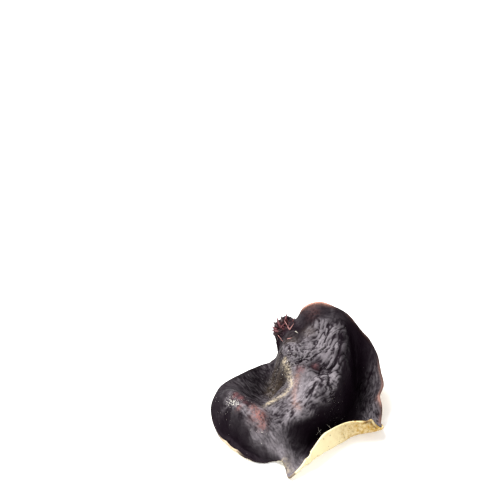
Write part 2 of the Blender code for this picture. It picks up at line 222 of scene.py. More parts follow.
# The margin, clockwise seen from above, starting at the stub by which the ear grew on its branch.
# Each row: x, y, height of the sheet, width of the rim beyond it, degrees that the rim turns up
MARGIN = (
    (-9, 30.2, 20.2, 1, 0), (-7.8, 34, 22.2, 1, 0), (-4.6, 36.6, 23.2, 1, 0), (-0.8, 34, 23.4, 1.2, 0),
    (2.8, 36.2, 27, 1.6, 10), (9.2, 37.2, 29.6, 1.8, 15), (16.4, 35.6, 28, 1.8, 15),
    (24, 33.4, 22.8, 1.8, 10), (30.2, 28.2, 17.4, 1.8, 10), (33.2, 22, 14.6, 1.8, 10),
    (34.4, 12.8, 12, 1.8, 10), (35.2, 6.6, 10, 1.6, 10), (33.6, 1.6, 8.4, 1.2, 5),
    (34.2, -2.4, 6.4, 1.2, 5), (33.6, -6.2, 3, 1.2, 5), (32.6, -8.4, 1.6, 1.4, 10),
    (31.2, -8.8, 1.4, 10.4, 82), (26.6, -9.8, 1.1, 9.9, 82), (21.6, -12.2, 0.8, 9.5, 81),
    (15.4, -17.4, 0.6, 9.6, 80), (9.2, -21.8, 0.6, 10.2, 80), (4, -26.2, 0.6, 8.6, 80),
    (0.2, -30.6, 0.5, 5.4, 80), (-1.2, -33, 0.5, 3, 70), (-2.4, -35, 0.5, 0.6, 10),
    (-4.2, -31.2, 0.7, 0.9, 0), (-8.6, -27.2, 0.7, 1.2, -10), (-14, -26.9, 0.7, 1.4, 0),
    (-18.8, -25.6, 0.7, 1.6, 30), (-23.4, -22.2, 0.7, 1.8, 45), (-28, -17.2, 0.9, 1.8, 45),
    (-32, -11, 2.2, 1.8, 30), (-34, -6.8, 4.6, 1.8, 20), (-34.6, -2.4, 8, 1.8, 10),
    (-33, 1.6, 10.4, 1.6, 0), (-29.6, 6.4, 10.5, 1.6, 0), (-25, 12, 9, 1.6, 10),
    (-20, 16.6, 8.6, 1.6, 15), (-15, 19.8, 9, 1.4, 10), (-10.4, 21.2, 10.8, 1, 0),
    (-7.7, 24.2, 15.4, 0.8, 0),
)

# Heights of the sheet at spots inside the margin, by the form that they lie on: x, y, height
RIDGE_SPOTS = (
    (-6.2, 24.5, 20.2), (-5.4, 16.9, 19.6), (-4.2, 11.5, 18.8), (-2.2, 5.9, 17.2), (-2.2, 1.6, 15.6),
    (-5, -1.6, 13.6), (-9.6, -4.8, 11.6),
)
CREST_SPOTS = (
    (-14, -8.2, 11.4), (-18.8, -7, 12.9), (-23, -5, 13.8), (-27, -2.8, 13.8), (-30.4, -1, 12.4),
)
HOLLOW_SPOTS = (
    (-14.6, 9.6, 0.3), (-16.8, 14.5, 3.8), (-10.8, 12, 2.6), (-12.6, 17.2, 7), (-21.6, 8, 5.2),
    (-8.8, 18, 9.8), (-8.4, 6, 5.6), (-14.4, 4.4, 0.9), (-20.6, 2, 6), (-11.8, -0.6, 6),
)
SWELL_SPOTS = (
    (9.2, 31, 24.6), (3, 30, 22.6), (7.2, 24.3, 22.6), (0.4, 21, 21.6), (6, 15.9, 21.6),
    (8.6, 9, 20.8), (3, 8, 20.4), (3.4, 1.3, 18.6), (1.2, -4.9, 16), (-2.8, -10.6, 13.4),
    (-7.6, -14.9, 12), (-11.8, -18, 10.9),
)
BROW_SPOTS = (
    (19.6, 30.2, 23), (19.4, 23.4, 22.2), (19.4, 16, 21.2), (18.6, 8.2, 19.6), (16.4, 0.8, 17.6),
    (12.6, -4.4, 15.6), (7.2, -9.2, 13.6), (1.8, -12.8, 11.9), (-3, -16.6, 10.4), (13, 24, 22.8),
    (13.4, 16.5, 21.7), (12.6, 3.6, 18.6),
)
VALLEY_SPOTS = (
    (25, 27.6, 12.6), (24.6, 22.2, 7), (24, 15, 3), (23, 7.2, 0.9), (20.4, -0.6, 0.4), (15.4, -7, 0.3),
    (9, -14, 0.3), (4.2, -20.2, 0.4), (0.4, -27.6, 0.6),
)
FLANK_SPOTS = (
    (28.6, 20.6, 8.4), (28.8, 12.6, 5.2), (28, 3.6, 2.4), (31.8, 8, 6.9), (30.8, -2.4, 3.2),
    (26.4, -5, 0.9), (20.8, -8.2, 0.4),
)
FRONT_SPOTS = (
    (-26, -8, 12.4), (-22.8, -11.2, 12.4), (-20, -15.2, 11.2), (-17.4, -18.6, 9.8), (-13.6, -21.4, 8),
    (-9, -23.8, 6.2), (-5, -27.4, 3.4), (-6.4, -20.2, 7.2), (-2.4, -22.4, 3.2), (-29.4, -10.4, 5.2),
    (-26.2, -14, 3), (-23.6, -17.2, 2), (-20.8, -20.4, 1.5), (-16.4, -23.8, 1.2), (-11, -25.6, 1.1),
)
SPOTS = (
    RIDGE_SPOTS + CREST_SPOTS + HOLLOW_SPOTS + SWELL_SPOTS + BROW_SPOTS
    + VALLEY_SPOTS + FLANK_SPOTS + FRONT_SPOTS
)

# Where the sheet leans over: x, y, how far it leans in x and y, and how wide that reaches
LEANS = (
    (19, 26, 1.2, 0.2, 5), (19.2, 17, 1.8, 0, 5), (18, 8.2, 2, -0.6, 5), (14.2, -0.8, 1.6, -1.4, 5),
    (7.4, -8.2, 0.8, -1.4, 5), (-0.8, -14.4, 0.4, -1, 4), (-4, 8, -1.6, -0.4, 4),
    (-5.6, 16, -1.2, 0, 4), (-6, -2, -1, 1.2, 4), (-23, -12.6, -1.2, -1, 3.6),
    (-19, -18.4, -1.3, -0.9, 3.6), (-13.6, -23.2, -0.7, -1.1, 3.4),
)

# Folds: a line of points, its lift, and how soon it falls away on its left and on its right
BROW_FOLD = (
    ((21, 33), (20.8, 25), (20.8, 17), (19.8, 8.8), (17.2, 1), (13.2, -4.6), (7.7, -9.8),
     (1.8, -13.8), (-3.8, -17.4), (-9, -20.2)), 1.2, 1.1, 2.2)
RIDGE_FOLD = (
    ((-6.2, 27), (-6, 17), (-4.8, 11.2), (-2.6, 6.2), (-2.2, 1.6), (-5.2, -2.6), (-9.8, -5.8),
     (-14.6, -8.4)), 1.5, 2.2, 1.2)
CREST_FOLD = (
    ((-9, -9.4), (-14.6, -8.4), (-19, -6.8), (-23, -4.8), (-27, -2.8), (-32, -0.8)), 1.2, 1.6, 1.2)
KEEL_FOLD = (
    ((-28.4, -6.4), (-23.6, -11.8), (-20.8, -16.2), (-18, -19.8), (-13.8, -22.8), (-9.2, -25),
     (-5.6, -28.2), (-3, -33.4)), 2.2, 1.8, 0.9)
HOOKED_CREASE = ((14.2, 4.8), (10.6, 6.4), (8.4, 4.2), (6.4, 0.6), (3.6, -2.8)), -0.9, 0.8, 1.2
PIT_CREASE = ((0.6, 10), (3.4, 11.6), (6.6, 10.2), (8.4, 8.2)), -0.7, 0.9, 0.9
UPPER_WRINKLE = ((3, 13), (7, 15.6), (11.2, 21), (14, 27.6)), 0.6, 1.2, 1.2
LOWER_WRINKLE = ((6.8, 11.8), (11.6, 12.6), (15, 17.4), (16.2, 23.6)), 0.6, 1.2, 1.2
MIDDLE_WRINKLE = ((-2.6, 15.8), (2.8, 19), (6.8, 24.8), (9, 30.6)), 0.5, 1.3, 1.3
FOLDS = (
    BROW_FOLD, RIDGE_FOLD, CREST_FOLD, KEEL_FOLD, HOOKED_CREASE, PIT_CREASE,
    UPPER_WRINKLE, LOWER_WRINKLE, MIDDLE_WRINKLE,
)

# Creases and ridges of the swell, as lines on the sheet: lifts below 0 are creases
CREASES = (
    (((6.2, 12), (8.3, 12.6), (10.5, 14.7), (12.2, 16.7)), -0.42, 0.2, 0.2),
    (((0.8, 8.4), (2, 9.8), (3.3, 10.3), (5, 10)), -0.42, 0.2, 0.2),
    (((11.6, 6.3), (13.7, 6.1), (15.3, 6), (16.5, 7), (17, 8.9)), -0.5, 0.2, 0.2),
    (((7.4, 1.2), (8.6, 0.8), (9.8, -1.1), (10.6, -3.1)), -0.58, 0.17, 0.17),
    (((8.2, -2.1), (6.9, -4.8), (5.7, -6.6), (3.6, -8.7)), -0.58, 0.17, 0.17),
    (((12.8, 4.4), (13.1, -1.8), (12.4, -4.5)), -0.58, 0.17, 0.17),
    (((9, 1), (9.5, 5.7), (10.4, 7.4)), -0.42, 0.2, 0.2),
    (((13.3, 9.2), (14.5, 11.1), (15.9, 15.5)), -0.42, 0.2, 0.2),
    (((17, 10), (18, 13.9), (18.9, 17.6)), -0.42, 0.2, 0.2),
    (((10.1, 17.9), (12.2, 21.4), (13.6, 25.5), (13.7, 30.5)), -0.42, 0.2, 0.2),
    (((13.9, 17.7), (15.2, 19.6), (16.1, 22.2), (17.4, 25.4)), -0.42, 0.2, 0.2),
    (((19.1, 8.3), (20.5, 14.4), (21.2, 21.5)), -0.42, 0.2, 0.2),
    (((10.2, 31.7), (10.7, 29.6), (10.2, 25.7)), 0.3, 0.36, 0.36),
    (((7.5, 16.6), (9.7, 19.7), (11.8, 22.3), (14.4, 24.7), (16.2, 27.4),
      (16.7, 30.7)), 0.3, 0.36, 0.36),
    (((8.8, 16), (10.9, 18.3), (13.1, 21.1), (15.2, 23.3), (17.4, 24.6)), 0.3, 0.36, 0.36),
    (((12, 8.8), (13.7, 10.9), (14.6, 13.1)), 0.3, 0.36, 0.36),
    (((15.3, 8.9), (16.2, 12), (16.7, 15.2), (17.6, 17.7)), 0.3, 0.36, 0.36),
    (((19.2, 12.2), (20.1, 16.1), (20.5, 22.2)), 0.3, 0.36, 0.36),
    (((10.2, -2.6), (9, -1.6), (7.8, -0.7)), 0.3, 0.36, 0.36),
    (((14.9, 4), (14.8, -0.3), (14.3, -3.7)), 0.24, 0.8, 0.8),
)

# How the skin lies. Each row: x, y, the heading of its wrinkles in degrees seen from above. Then, in
# hundredths, the heights in millimetres of the broad wrinkles, the fine ones and the crumbs, and the
# share of silvery bloom: partly real bloom, partly painted sheen where the skin is lit, and low as
# painted shade where it lies in shade
SKIN_SPOTS = (
    (3.3, 13.8, 28, 16, 22, 22, 60), (9.7, 19.1, 50, 36, 26, 10, 60), (14, 26.5, 62, 38, 26, 10, 50),
    (16.3, 31.5, 66, 26, 14, 2, 20), (10.2, 30.4, 88, 26, 14, 2, 45), (10.2, 26.2, 88, 26, 24, 8, 48),
    (4.6, 20.1, 34, 20, 20, 8, 46), (6.3, 22.5, 40, 12, 18, 10, 40), (1.2, 28.9, 55, 8, 8, 4, 5),
    (-0.1, 26.9, 50, 6, 6, 4, 10), (5, 27.5, 45, 5, 8, 12, 32), (20.3, 22, 84, 32, 14, 2, 6),
    (19.1, 10.7, 76, 38, 14, 2, 5), (15.7, 6.2, 50, 36, 22, 10, 54), (11.6, 6, 20, 36, 24, 12, 40),
    (7.5, 7.6, 10, 24, 12, 8, 12), (15, 15, 58, 36, 26, 10, 48), (-3, 14.3, 100, 10, 14, 30, 48),
    (0.4, 9.7, 80, 10, 14, 28, 42), (2.4, 3.1, 60, 3, 3, 2, 75), (0, 1.1, 70, 4, 4, 4, 75),
    (1.2, -6, 55, 3, 4, 2, 100), (4.5, -2.6, 55, 3, 4, 2, 100), (8.6, -1.5, 52, 16, 20, 8, 60),
    (6.1, -5.9, 48, 18, 24, 8, 75), (3.6, -8.4, 42, 20, 22, 8, 85), (12.2, -4, 48, 26, 18, 10, 60),
    (14.8, -0.3, 60, 30, 20, 14, 58), (14.3, -4.9, 30, 16, 20, 40, 32),
    (11.5, -7.6, 40, 16, 18, 10, 30), (6, -11, 42, 14, 20, 6, 55), (-1, -12.5, 40, 18, 24, 10, 70),
    (9.4, -12.4, 45, 8, 12, 2, 2), (5, -16.5, 45, 8, 8, 2, 0), (1.2, -19.9, 50, 8, 14, 4, 10),
    (-5.1, 4.8, 110, 14, 12, 10, 15), (-6.4, 12.3, 100, 12, 10, 16, 22),
    (-1.7, 2.5, 80, 10, 8, 12, 80), (-2.5, -2, 70, 8, 10, 8, 80), (-8, -7.5, 35, 12, 18, 8, 54),
    (-14.2, -13.7, 150, 10, 16, 10, 42), (-9, -12, 30, 16, 22, 10, 50),
    (-26.7, -6.5, 150, 10, 14, 26, 55), (-23.4, -5.7, 145, 12, 14, 14, 20),
    (-19.3, -7.3, 150, 10, 10, 6, 8), (-22.7, -13.4, 130, 12, 12, 14, 40),
    (-15.7, -17.6, 130, 12, 16, 12, 70), (-19, -21, 135, 8, 10, 4, 28),
    (-14.1, -24.8, 125, 6, 10, 2, 60), (-14.1, -22, 125, 6, 10, 2, 80),
    (-8.9, -25.4, 120, 4, 8, 2, 85), (-4.8, -30.7, 115, 3, 6, 2, 100), (-19.1, -23.8, 135, 8, 8, 2, 8),
    (-26, -12.5, 120, 8, 8, 2, 0), (-28.5, -10, 120, 8, 8, 2, 0), (-24, -17, 120, 8, 8, 2, 2),
    (-27, -16, 120, 8, 8, 2, 2), (-31.5, -12, 110, 8, 8, 2, 3), (-33, -4, 100, 8, 8, 2, 4),
    (-30, 0, 150, 8, 10, 2, 6), (-21.5, -22.5, 135, 6, 8, 2, 6), (-17, -26, 130, 6, 8, 2, 10),
    (-21.5, -19, 130, 6, 8, 2, 10), (-18.2, 15.7, 153, 5, 30, 3, 16), (-14.5, 10, 150, 5, 32, 3, 24),
    (-10.8, 11.9, 150, 5, 28, 6, 40), (-19, 2, 160, 6, 26, 3, 14), (31.1, 12.3, 84, 5, 42, 5, 14),
    (28.8, 4.6, 74, 6, 42, 5, 16), (32.6, -4.5, 95, 6, 32, 6, 45), (34.7, 9.5, 90, 5, 16, 3, 30),
    (33.9, 0, 90, 6, 20, 5, 40), (27, 22, 78, 5, 14, 3, 2), (22.3, 13.8, 88, 10, 8, 2, 0),
    (21.4, 3.4, 80, 10, 8, 2, 0), (20, -0.8, 70, 8, 8, 2, 0), (15, -9, 60, 6, 8, 3, 0),
    (24, -8, 80, 5, 12, 10, 2), (-6.2, 32.3, 60, 30, 50, 60, 0), (-7.8, 27, 80, 16, 16, 16, 0),
    (9.8, 37.4, 175, 4, 8, 4, 30), (3.5, 34.5, 60, 6, 10, 4, 16), (12, 34.5, 170, 6, 8, 2, 28),
    (18.5, 35.9, 160, 5, 6, 3, 8), (28, 32, 130, 5, 6, 3, 1),
)

# Borders of painted shade, past which the skin is darker on their left, where it lies in shade: in the
# valley below the brow, on the faces under the keel and behind the front ridge, inside the arc and in
# the hollow. Each: a line of points, how far the dark goes, how soft the border is, and how dark it
# gets
BROW_SHADE_BORDER = (
    ((17.6, 33.1), (21, 28.8), (21.6, 20.9), (20.4, 10.7), (18.6, 4.6), (16.9, -2.3), (13.7, -6.8),
     (9.2, -10.9), (4.6, -14), (1, -16.6), (-9, -20.6)), 9, 0.7, 0.97)
KEEL_SHADE_BORDER = (
    ((-2.6, -34.2), (-4.9, -30.9), (-7.5, -27.6), (-11.5, -25.5), (-15.1, -24.4), (-18.3, -21.8),
     (-19.6, -19.9), (-21.1, -17.2), (-22.9, -13.8), (-25.4, -10.8), (-28, -8.4),
     (-31.6, -6)), 11, 0.5, 0.86)
CREST_SHADE_BORDER = (
    ((-28, -3.6), (-25.4, -5.8), (-23.4, -8.2), (-21.6, -11), (-19.4, -12.2)), 2.4, 0.5, 0.75)
ARC_SHADE_BORDER = ((0.8, 25.1), (3.8, 29.1), (7.2, 31.4), (10.7, 32.8), (15.9, 33.6)), 5, 1, 0.75
HOLLOW_SHADE_BORDER = (
    ((-15.1, -12.1), (-11, -7.6), (-6, -4), (-3.1, 0), (-4.2, 5.3), (-6, 10.6),
     (-6.6, 20.5)), 7, 0.6, 0.6)
PAINTED_SHADE_BORDERS = (BROW_SHADE_BORDER, KEEL_SHADE_BORDER, CREST_SHADE_BORDER, ARC_SHADE_BORDER, HOLLOW_SHADE_BORDER)

# Lines of colour: a line of points, its strength, and its width on its left and on its right
# Golden lines: along the ridge, partly the pale tissue of the fold's edge and partly a painted
# highlight of light passing through it; at the tip, a painted highlight
GOLD_AND_HIGHLIGHT_LINES = (
    (((-4.9, 13), (-4.7, 10.2), (-3, 5.3), (-2.1, -0.2), (-5, -4.3), (-10.3, -7.5),
      (-15.1, -12.1)), 1, 0.42, 0.5),
    (((-6.2, -29), (-4.6, -31.4), (-3.4, -33.4), (-2.6, -35)), 0.7, 0.9, 0.9),
)
# Lines of bloom along the keel's lit edge, across the front of the swell and along the front ridge:
# partly real bloom, partly a painted highlight where these catch the light
BLOOM_AND_HIGHLIGHT_LINES = (
    (((-3.2, -33.8), (-4.7, -30.7), (-7.3, -27.2), (-11.4, -25), (-14.9, -23.9), (-17.9, -21.4),
      (-19.1, -19.5), (-20.6, -16.9), (-22.3, -13.6)), 0.36, 0.45, 0.5),
    (((-8.6, -20.6), (-4, -21.2), (0.8, -21.8), (3, -22.4)), 0.1, 1.6, 1.6),
    (((-26, -9), (-23.4, -11.4), (-21.2, -13.2), (-18.8, -15.6)), 0.45, 0.9, 0.9),
)
PINK_LINES = (
    (((0.2, 4.4), (0, 3), (-0.2, 1.1), (-0.9, -4), (-0.4, -9.9), (2.4, -12.9)), 0.4, 0.7, 0.7),
)

# Patches of colour and of other things. Each row: x, y, how far it reaches in millimetres, its strength
RUST_PATCHES = (
    (7.5, 7.6, 1.2, 0.1), (1.4, 5.4, 1.8, 0.34), (-15.8, -15.5, 2.4, 1), (-14.1, -19.1, 1.6, 0.7),
    (-18, -12.2, 1.6, 0.6), (-25.3, -5.2, 1, 0.25), (-23, -7.6, 1, 0.25), (-23.4, -11.8, 0.9, 0.6),
    (34.4, 1, 1.2, 0.35), (7, 36, 3, 0.15),
)
WINE_PATCHES = (
    (-25.5, -5, 1.1, 0.8), (-23.4, -7.2, 1.1, 0.8), (-21.4, -9.9, 1, 0.6), (1.2, 5.8, 1.3, 0.6),
    (7.6, 7.8, 1.3, 0.5),
)
BROWN_PATCHES = (
    (5, 27, 3, 0.08), (-2.5, 21.5, 3, 0.08), (-11.5, 12.5, 2.6, 0.16), (-9.2, 8, 2.2, 0.16),
    (-8.6, 15.5, 2, 0.1), (-6.8, 5.4, 1.8, 0.12), (-7.2, 10.4, 1.8, 0.1),
)
FELTED_MARGIN = (
    (1.5, -33, 3, 1.5), (32, -14, 5, 1.5), (27, -16, 6, 1.5), (21, -19, 7, 1.5), (13, -24, 8, 1.5),
    (6, -30, 6, 1.5),
)
# Where the thin margin's edge is painted with a reddish glow of light shining through it, partly its
# own reddish tone
GLOWING_EDGES = (
    (3.6, 37.6, 1.8, 0.6), (7.8, 39, 3.2, 0.9), (12.5, 38.5, 3, 0.8), (23.5, 35, 2.4, 0.16),
    (30, 30.5, 4, 0.06), (35.5, 14, 4, 0.12), (36, 6, 4, 0.2), (34, 0, 2.4, 0.5), (34, -7, 2.5, 0.25),
)
TAN_EDGES = (
    (-29, -18, 4, 1), (-25, -22, 2.6, 0.9), (-2.4, -35, 2.5, 0.6),
)
DUST_PATCHES = (
    (-26.7, -6.4, 3, 0.9), (-22, -9.5, 3, 0.4), (-16, -15, 3, 0.5), (-4, 8, 3, 0.5), (-2.2, 1, 3, 0.8),
    (-5, -3.5, 3, 0.5), (-10, 12, 4, 0.3), (-1, 12, 4, 0.5), (14, -4.5, 2.5, 0.6), (20, -10, 5, 0.06),
)
TORN_PATCH = ((-6.4, 32, 4.2, 1),)
STUB_PATCH = ((-9, 30.2, 4.5, 1),)

# The same with x, y and z: stains of the felt, glitter, and where the stub's shreds grow
FELT_STAINS = (
    (28.2, -13.6, 9.4, 1.2, 1.2), (29.8, -13.3, 8.8, 1, 1.1), (31, -13.1, 7.6, 0.8, 0.9),
    (32, -13, 6.4, 0.8, 0.9), (26, -13.6, 6, 0.9, 0.25), (22.5, -14.2, 5, 0.8, 0.2),
)
GLITTER = (
    (-27.6, -6.6, 13.4, 1.3, 1), (-26.1, -8.4, 14.6, 1.3, 1), (-24.6, -10.4, 15.2, 1.1, 0.6),
)
SHRED_PATCH = ((-6.6, 32.2, 23.2, 3.2, 1),)
PATCHES = {
    "rust": RUST_PATCHES, "wine": WINE_PATCHES, "brown": BROWN_PATCHES, "stain": FELT_STAINS,
    "edge_glow": GLOWING_EDGES, "edge_tan": TAN_EDGES, "felted": FELTED_MARGIN,
}

# Flaps, splinters and fibres, in millimetres: where each starts and ends, its width, and its material:
# 0 dark torn tissue, 1 red, 2 pink, 3 pale fibre
FLAPS = (
    (-3.3, 27.3, 24.3, -4.5, 30.3, 24.6, 0.26, 2), (-4.5, 30.3, 24.6, -5.9, 33.8, 24.8, 0.28, 2),
    (-3.3, 27.3, 24.3, -1.3, 31.8, 24.6, 0.3, 2), (-4.3, 22.6, 22.9, -1.9, 22.9, 23.5, 0.2, 2),
    (-8.4, 27.4, 21.2, -5.9, 21.6, 21.8, 0.14, 2), (-0.8, 26.8, 23.8, 0.5, 25.2, 24, 0.28, 3),
    (-8.8, 30, 22, -11.4, 31.4, 23.2, 0.95, 1), (-8, 28.8, 22, -11.2, 29.2, 22.6, 0.9, 1),
    (-8.4, 31, 22.4, -10.8, 33.6, 24.2, 0.85, 0), (-7.6, 31.6, 23, -9.2, 35.6, 25.4, 0.95, 1),
    (-6.4, 33, 23.6, -7.4, 36.9, 25.2, 0.95, 0), (-5.2, 34.4, 23.8, -4.6, 38.2, 25.3, 0.85, 1),
    (-8.6, 28, 21.4, -10.6, 27, 21.6, 0.6, 0), (-7.4, 30, 23, -5.2, 31.4, 24.8, 0.5, 1),
    (-6.6, 28.6, 22.8, -8.8, 26.6, 23.2, 0.5, 0), (-2.2, 33.6, 23.6, -0.6, 36.2, 25.2, 0.35, 1),
    (-9.2, -27.4, 0.8, -10.6, -26.4, 2, 0.2, 3), (12.2, -13.2, 7, 15, -15.6, 5.6, 0.06, 3),
    (8.6, -14, 6.2, 9.8, -17, 4.2, 0.05, 3), (7.8, -16.6, 4.6, 10.6, -14.4, 6.2, 0.05, 3),
    (17, -12, 3, 19.6, -13.4, 2.2, 0.05, 3),
)

# Specks that stand out, in millimetres: where each lies, and its radius
SPECKS = (
    (-6.3, 6.6, 16.6, 0.32), (-14.1, -22, 11, 0.26), (-18.4, -20, 10.5, 0.16),
    (-16.2, -21.2, 10.6, 0.18), (-12.6, -22, 9.8, 0.18), (-12.4, 14.6, 8, 0.22),
    (-1.7, 2.5, 18.9, 0.26), (-14.1, -24.8, 7.5, 0.18), (-3.6, 14, 24.2, 0.3), (-4, 9.4, 21.4, 0.34),
)


def colour_of(name, default, description):
    """A colour among the settings."""
    return FloatVectorProperty(
        name=name, subtype="COLOR", size=3, default=default, min=0, max=1, description=description)


class WoodEarSettings(bpy.types.PropertyGroup):
    back_cells: IntProperty(
        name="Cells across the back", default=97, min=20, max=97,
        description="Cells along each side of the back's grid. The upper side has three times as many")
    wrinkle_height: FloatProperty(
        name="Wrinkle height", default=1.0, min=0.0, max=2.0,
        description="How high the wrinkles stand, as a share of the measured heights")
    hair_length: FloatProperty(
        name="Hair length", default=0.00035, min=0.0001, max=0.001, unit="LENGTH",
        description="Length of the felt's hairs")
    hair_count: IntProperty(
        name="Hairs", default=30000, min=0, max=45000,
        description="How many hairs stand out of the felt")
    dust_count: IntProperty(
        name="Dust grains", default=900, min=1, max=5000,
        description="How many pale grains lie on the skin")
    skin_colour: colour_of("Skin", (0.0050, 0.0025, 0.0046), "The upper side between its pale patches")
    # The bloom's colour, which also paints the sheen of lit places
    bloom_and_sheen_colour: colour_of(
        "Silver bloom", (0.22, 0.197, 0.212), "The greyish bloom on the upper side")
    rust_colour: colour_of("Rust", (0.28, 0.125, 0.11), "Reddish places on the upper side")
    # The golden tone of the ridge and the tip: partly pale tissue, partly a painted highlight
    gold_and_highlight_colour: colour_of("Gold", (0.42, 0.35, 0.25), "Where pale tissue shows along the ridge")
    felt_colour: colour_of("Felt", (0.84, 0.74, 0.46), "The pale felt of the back")
    ochre_colour: colour_of("Felt, darker", (0.46, 0.27, 0.05), "The darker mottles of the felt")


def ease(x):
    """0 below 0, 1 above 1, and a smooth rise between them."""
    x = np.clip(x, 0.0, 1.0)
    return x * x * (3.0 - 2.0 * x)


def round_trip(knots, values, at, kept_within=False):
    """A closed smooth curve through values at rising angles, by cubic pieces.

    The slope at a value is the three-point one. Where the curve is kept within its values, it is the
    harmonic mean of the slopes on its two sides instead, and level where the values turn back.
    """
    order = np.argsort(knots)
    knots, values = knots[order], values[order]
    gap = np.diff(knots, append=knots[0] + 2 * np.pi)
    before = np.roll(gap, 1)
    rise = (np.roll(values, -1) - values) / gap
    risen = np.roll(rise, 1)
    if kept_within:
        goes_on = rise * risen > 0
        slope = np.where(goes_on, 2 * rise * risen / np.where(goes_on, rise + risen, 1.0), 0.0)
    else:
        slope = (rise * before + risen * gap) / (gap + before)
    at = knots[0] + np.mod(at - knots[0], 2 * np.pi)
    first = np.clip(np.searchsorted(knots, at, side="right") - 1, 0, len(knots) - 1)
    last = (first + 1) % len(knots)
    t = (at - knots[first]) / gap[first]
    return (
        values[first] * (1 + 2 * t) * (1 - t) ** 2 + values[last] * t ** 2 * (3 - 2 * t)
        + slope[first] * gap[first] * t * (1 - t) ** 2 - slope[last] * gap[first] * t ** 2 * (1 - t))


def softened(knots, values, at):
    """The closed curve kept within its values, as the mean of five places close around each angle."""
    near = [round_trip(knots, values, at + offset, kept_within=True) for offset in SOFTENING]
    return sum(near) / len(near)


def unit(vectors):
    """The same directions with a length of 1."""
    return vectors / np.linalg.norm(vectors, axis=-1, keepdims=True)


def squared_ways(points, centres):
    """The square of the distance, seen from above, from each point to each centre."""
    return sum((points[..., axis, None] - centres[:, axis]) ** 2 for axis in range(2))


def bends(points, centres):
    """How far a thin plate bends at points for each centre: r * r * log(r) at a distance r from it."""
    squared = squared_ways(points, centres)
    return 0.5 * squared * np.log(squared + 1e-9)


def plate_height(points, plate):
    """The height at points of a thin bent plate: its bends by their weights, and an even slope."""
    centres, weights = plate
    slope = weights[-2] * points[..., 0] + weights[-1] * points[..., 1]
    return bends(points, centres) @ weights[:-3] + weights[-3] + slope


def bend_plate(spots):
    """The centres and weights that bend a thin plate through the spots, with a little slack."""
    centres = spots[:, :2]
    count = len(spots)
    square = np.zeros((count + 3, count + 3))
    square[:count, :count] = bends(centres, centres) + SPOT_SLACK * np.eye(count)
    square[:count, count] = 1.0
    square[:count, count + 1:] = centres
    square[count:, :count] = square[:count, count:].T
    return centres, np.linalg.solve(square, np.concatenate([spots[:, 2], np.zeros(3)]))


def smooth_path(points):
    """A curve through the points, at short even steps of its own cubic pieces."""
    points = np.array(points, float)
    ends = np.concatenate([2 * points[:1] - points[1:2], points, 2 * points[-1:] - points[-2:-1]])
    t = (np.arange(POINTS_PER_STRETCH) / POINTS_PER_STRETCH)[:, None]
    stretches = [
        0.5 * (2 * b + (c - a) * t + (2 * a - 5 * b + 4 * c - d) * t ** 2
               + (3 * b - a - 3 * c + d) * t ** 3)
        for a, b, c, d in zip(ends[:-3], ends[1:-2], ends[2:-1], ends[3:])
    ]
    return np.concatenate(stretches + [points[-1:]])


def beside(points, line):
    """Where points lie along a line seen from above, as a share of it, and how far to its left."""
    path = smooth_path(line)
    step = np.gradient(path, axis=0)
    near = np.argmin(squared_ways(points, path), axis=-1)
    away = points[..., :2] - path[near]
    ahead = unit(step)[near]
    along = (ahead * away).sum(axis=-1) / np.linalg.norm(step, axis=1)[near]
    side = ahead[..., 0] * away[..., 1] - ahead[..., 1] * away[..., 0]
    return (near + along) / (len(path) - 1), side


def ends_faded(share, end):
    """1 along the middle of a line, easing to 0 over a share of its length at both of its ends."""
    return ease(share / end) * ease((1.0 - share) / end)


def fold_lift(points, fold):
    """How much a fold lifts the sheet at points: lift / cosh(distance / width), less at its ends.

    The width goes smoothly from the one on its left to the one on its right across the line.
    """
    line, lift, left_width, right_width = fold
    share, side = beside(points, line)
    width = right_width + (left_width - right_width) * ease(0.5 + 0.5 * side / SIDE_BLEND)
    return lift * ends_faded(share, FOLD_END) / np.cosh(np.clip(side / width, -50.0, 50.0))


def lifted(points, folds):
    """The sum of what a set of folds lifts."""
    return sum(fold_lift(points, fold) for fold in folds)


def shade(points, border):
    """How much painted shade darkens the skin on the left of a border: nothing on its right, full just
    past it.

    It rises over the border's softness, and falls off as exp(-(distance / reach) to the power 4).
    """
    line, reach, softness, strength = border
    share, side = beside(points, line)
    fall = np.exp(-(np.maximum(side, 0.0) / reach) ** 4)
    return strength * ends_faded(share, SHADE_END) * ease(0.5 + 0.5 * side / softness) * fall


def drawn(points, lines):
    """How strongly a set of lines marks points: the sum of their strength / cosh(distance / width)."""
    return np.clip(lifted(points, lines), 0.0, 1.0)


def patches(points, rows):
    """How strongly a set of patches covers points: the sum of their bell curves, at most 1.

    A row has the patch's middle in x and y, or in x, y and z, and then its reach and its strength.
    """
    total = np.zeros(points.shape[:-1])
    for *middle, reach, strength in rows:
        squared = ((points[..., :len(middle)] - middle) ** 2).sum(axis=-1)
        total += strength * np.exp(-squared / reach ** 2)
    return np.minimum(total, 1.0)


def on_disc(places):
    """Points of the square from -1 to 1 pressed into a disc: their angles and their reaches."""
    across, along = places[..., 0], places[..., 1]
    x = across * np.sqrt(1.0 - 0.5 * along ** 2)
    y = along * np.sqrt(1.0 - 0.5 * across ** 2)
    return np.arctan2(y, x), np.hypot(x, y)


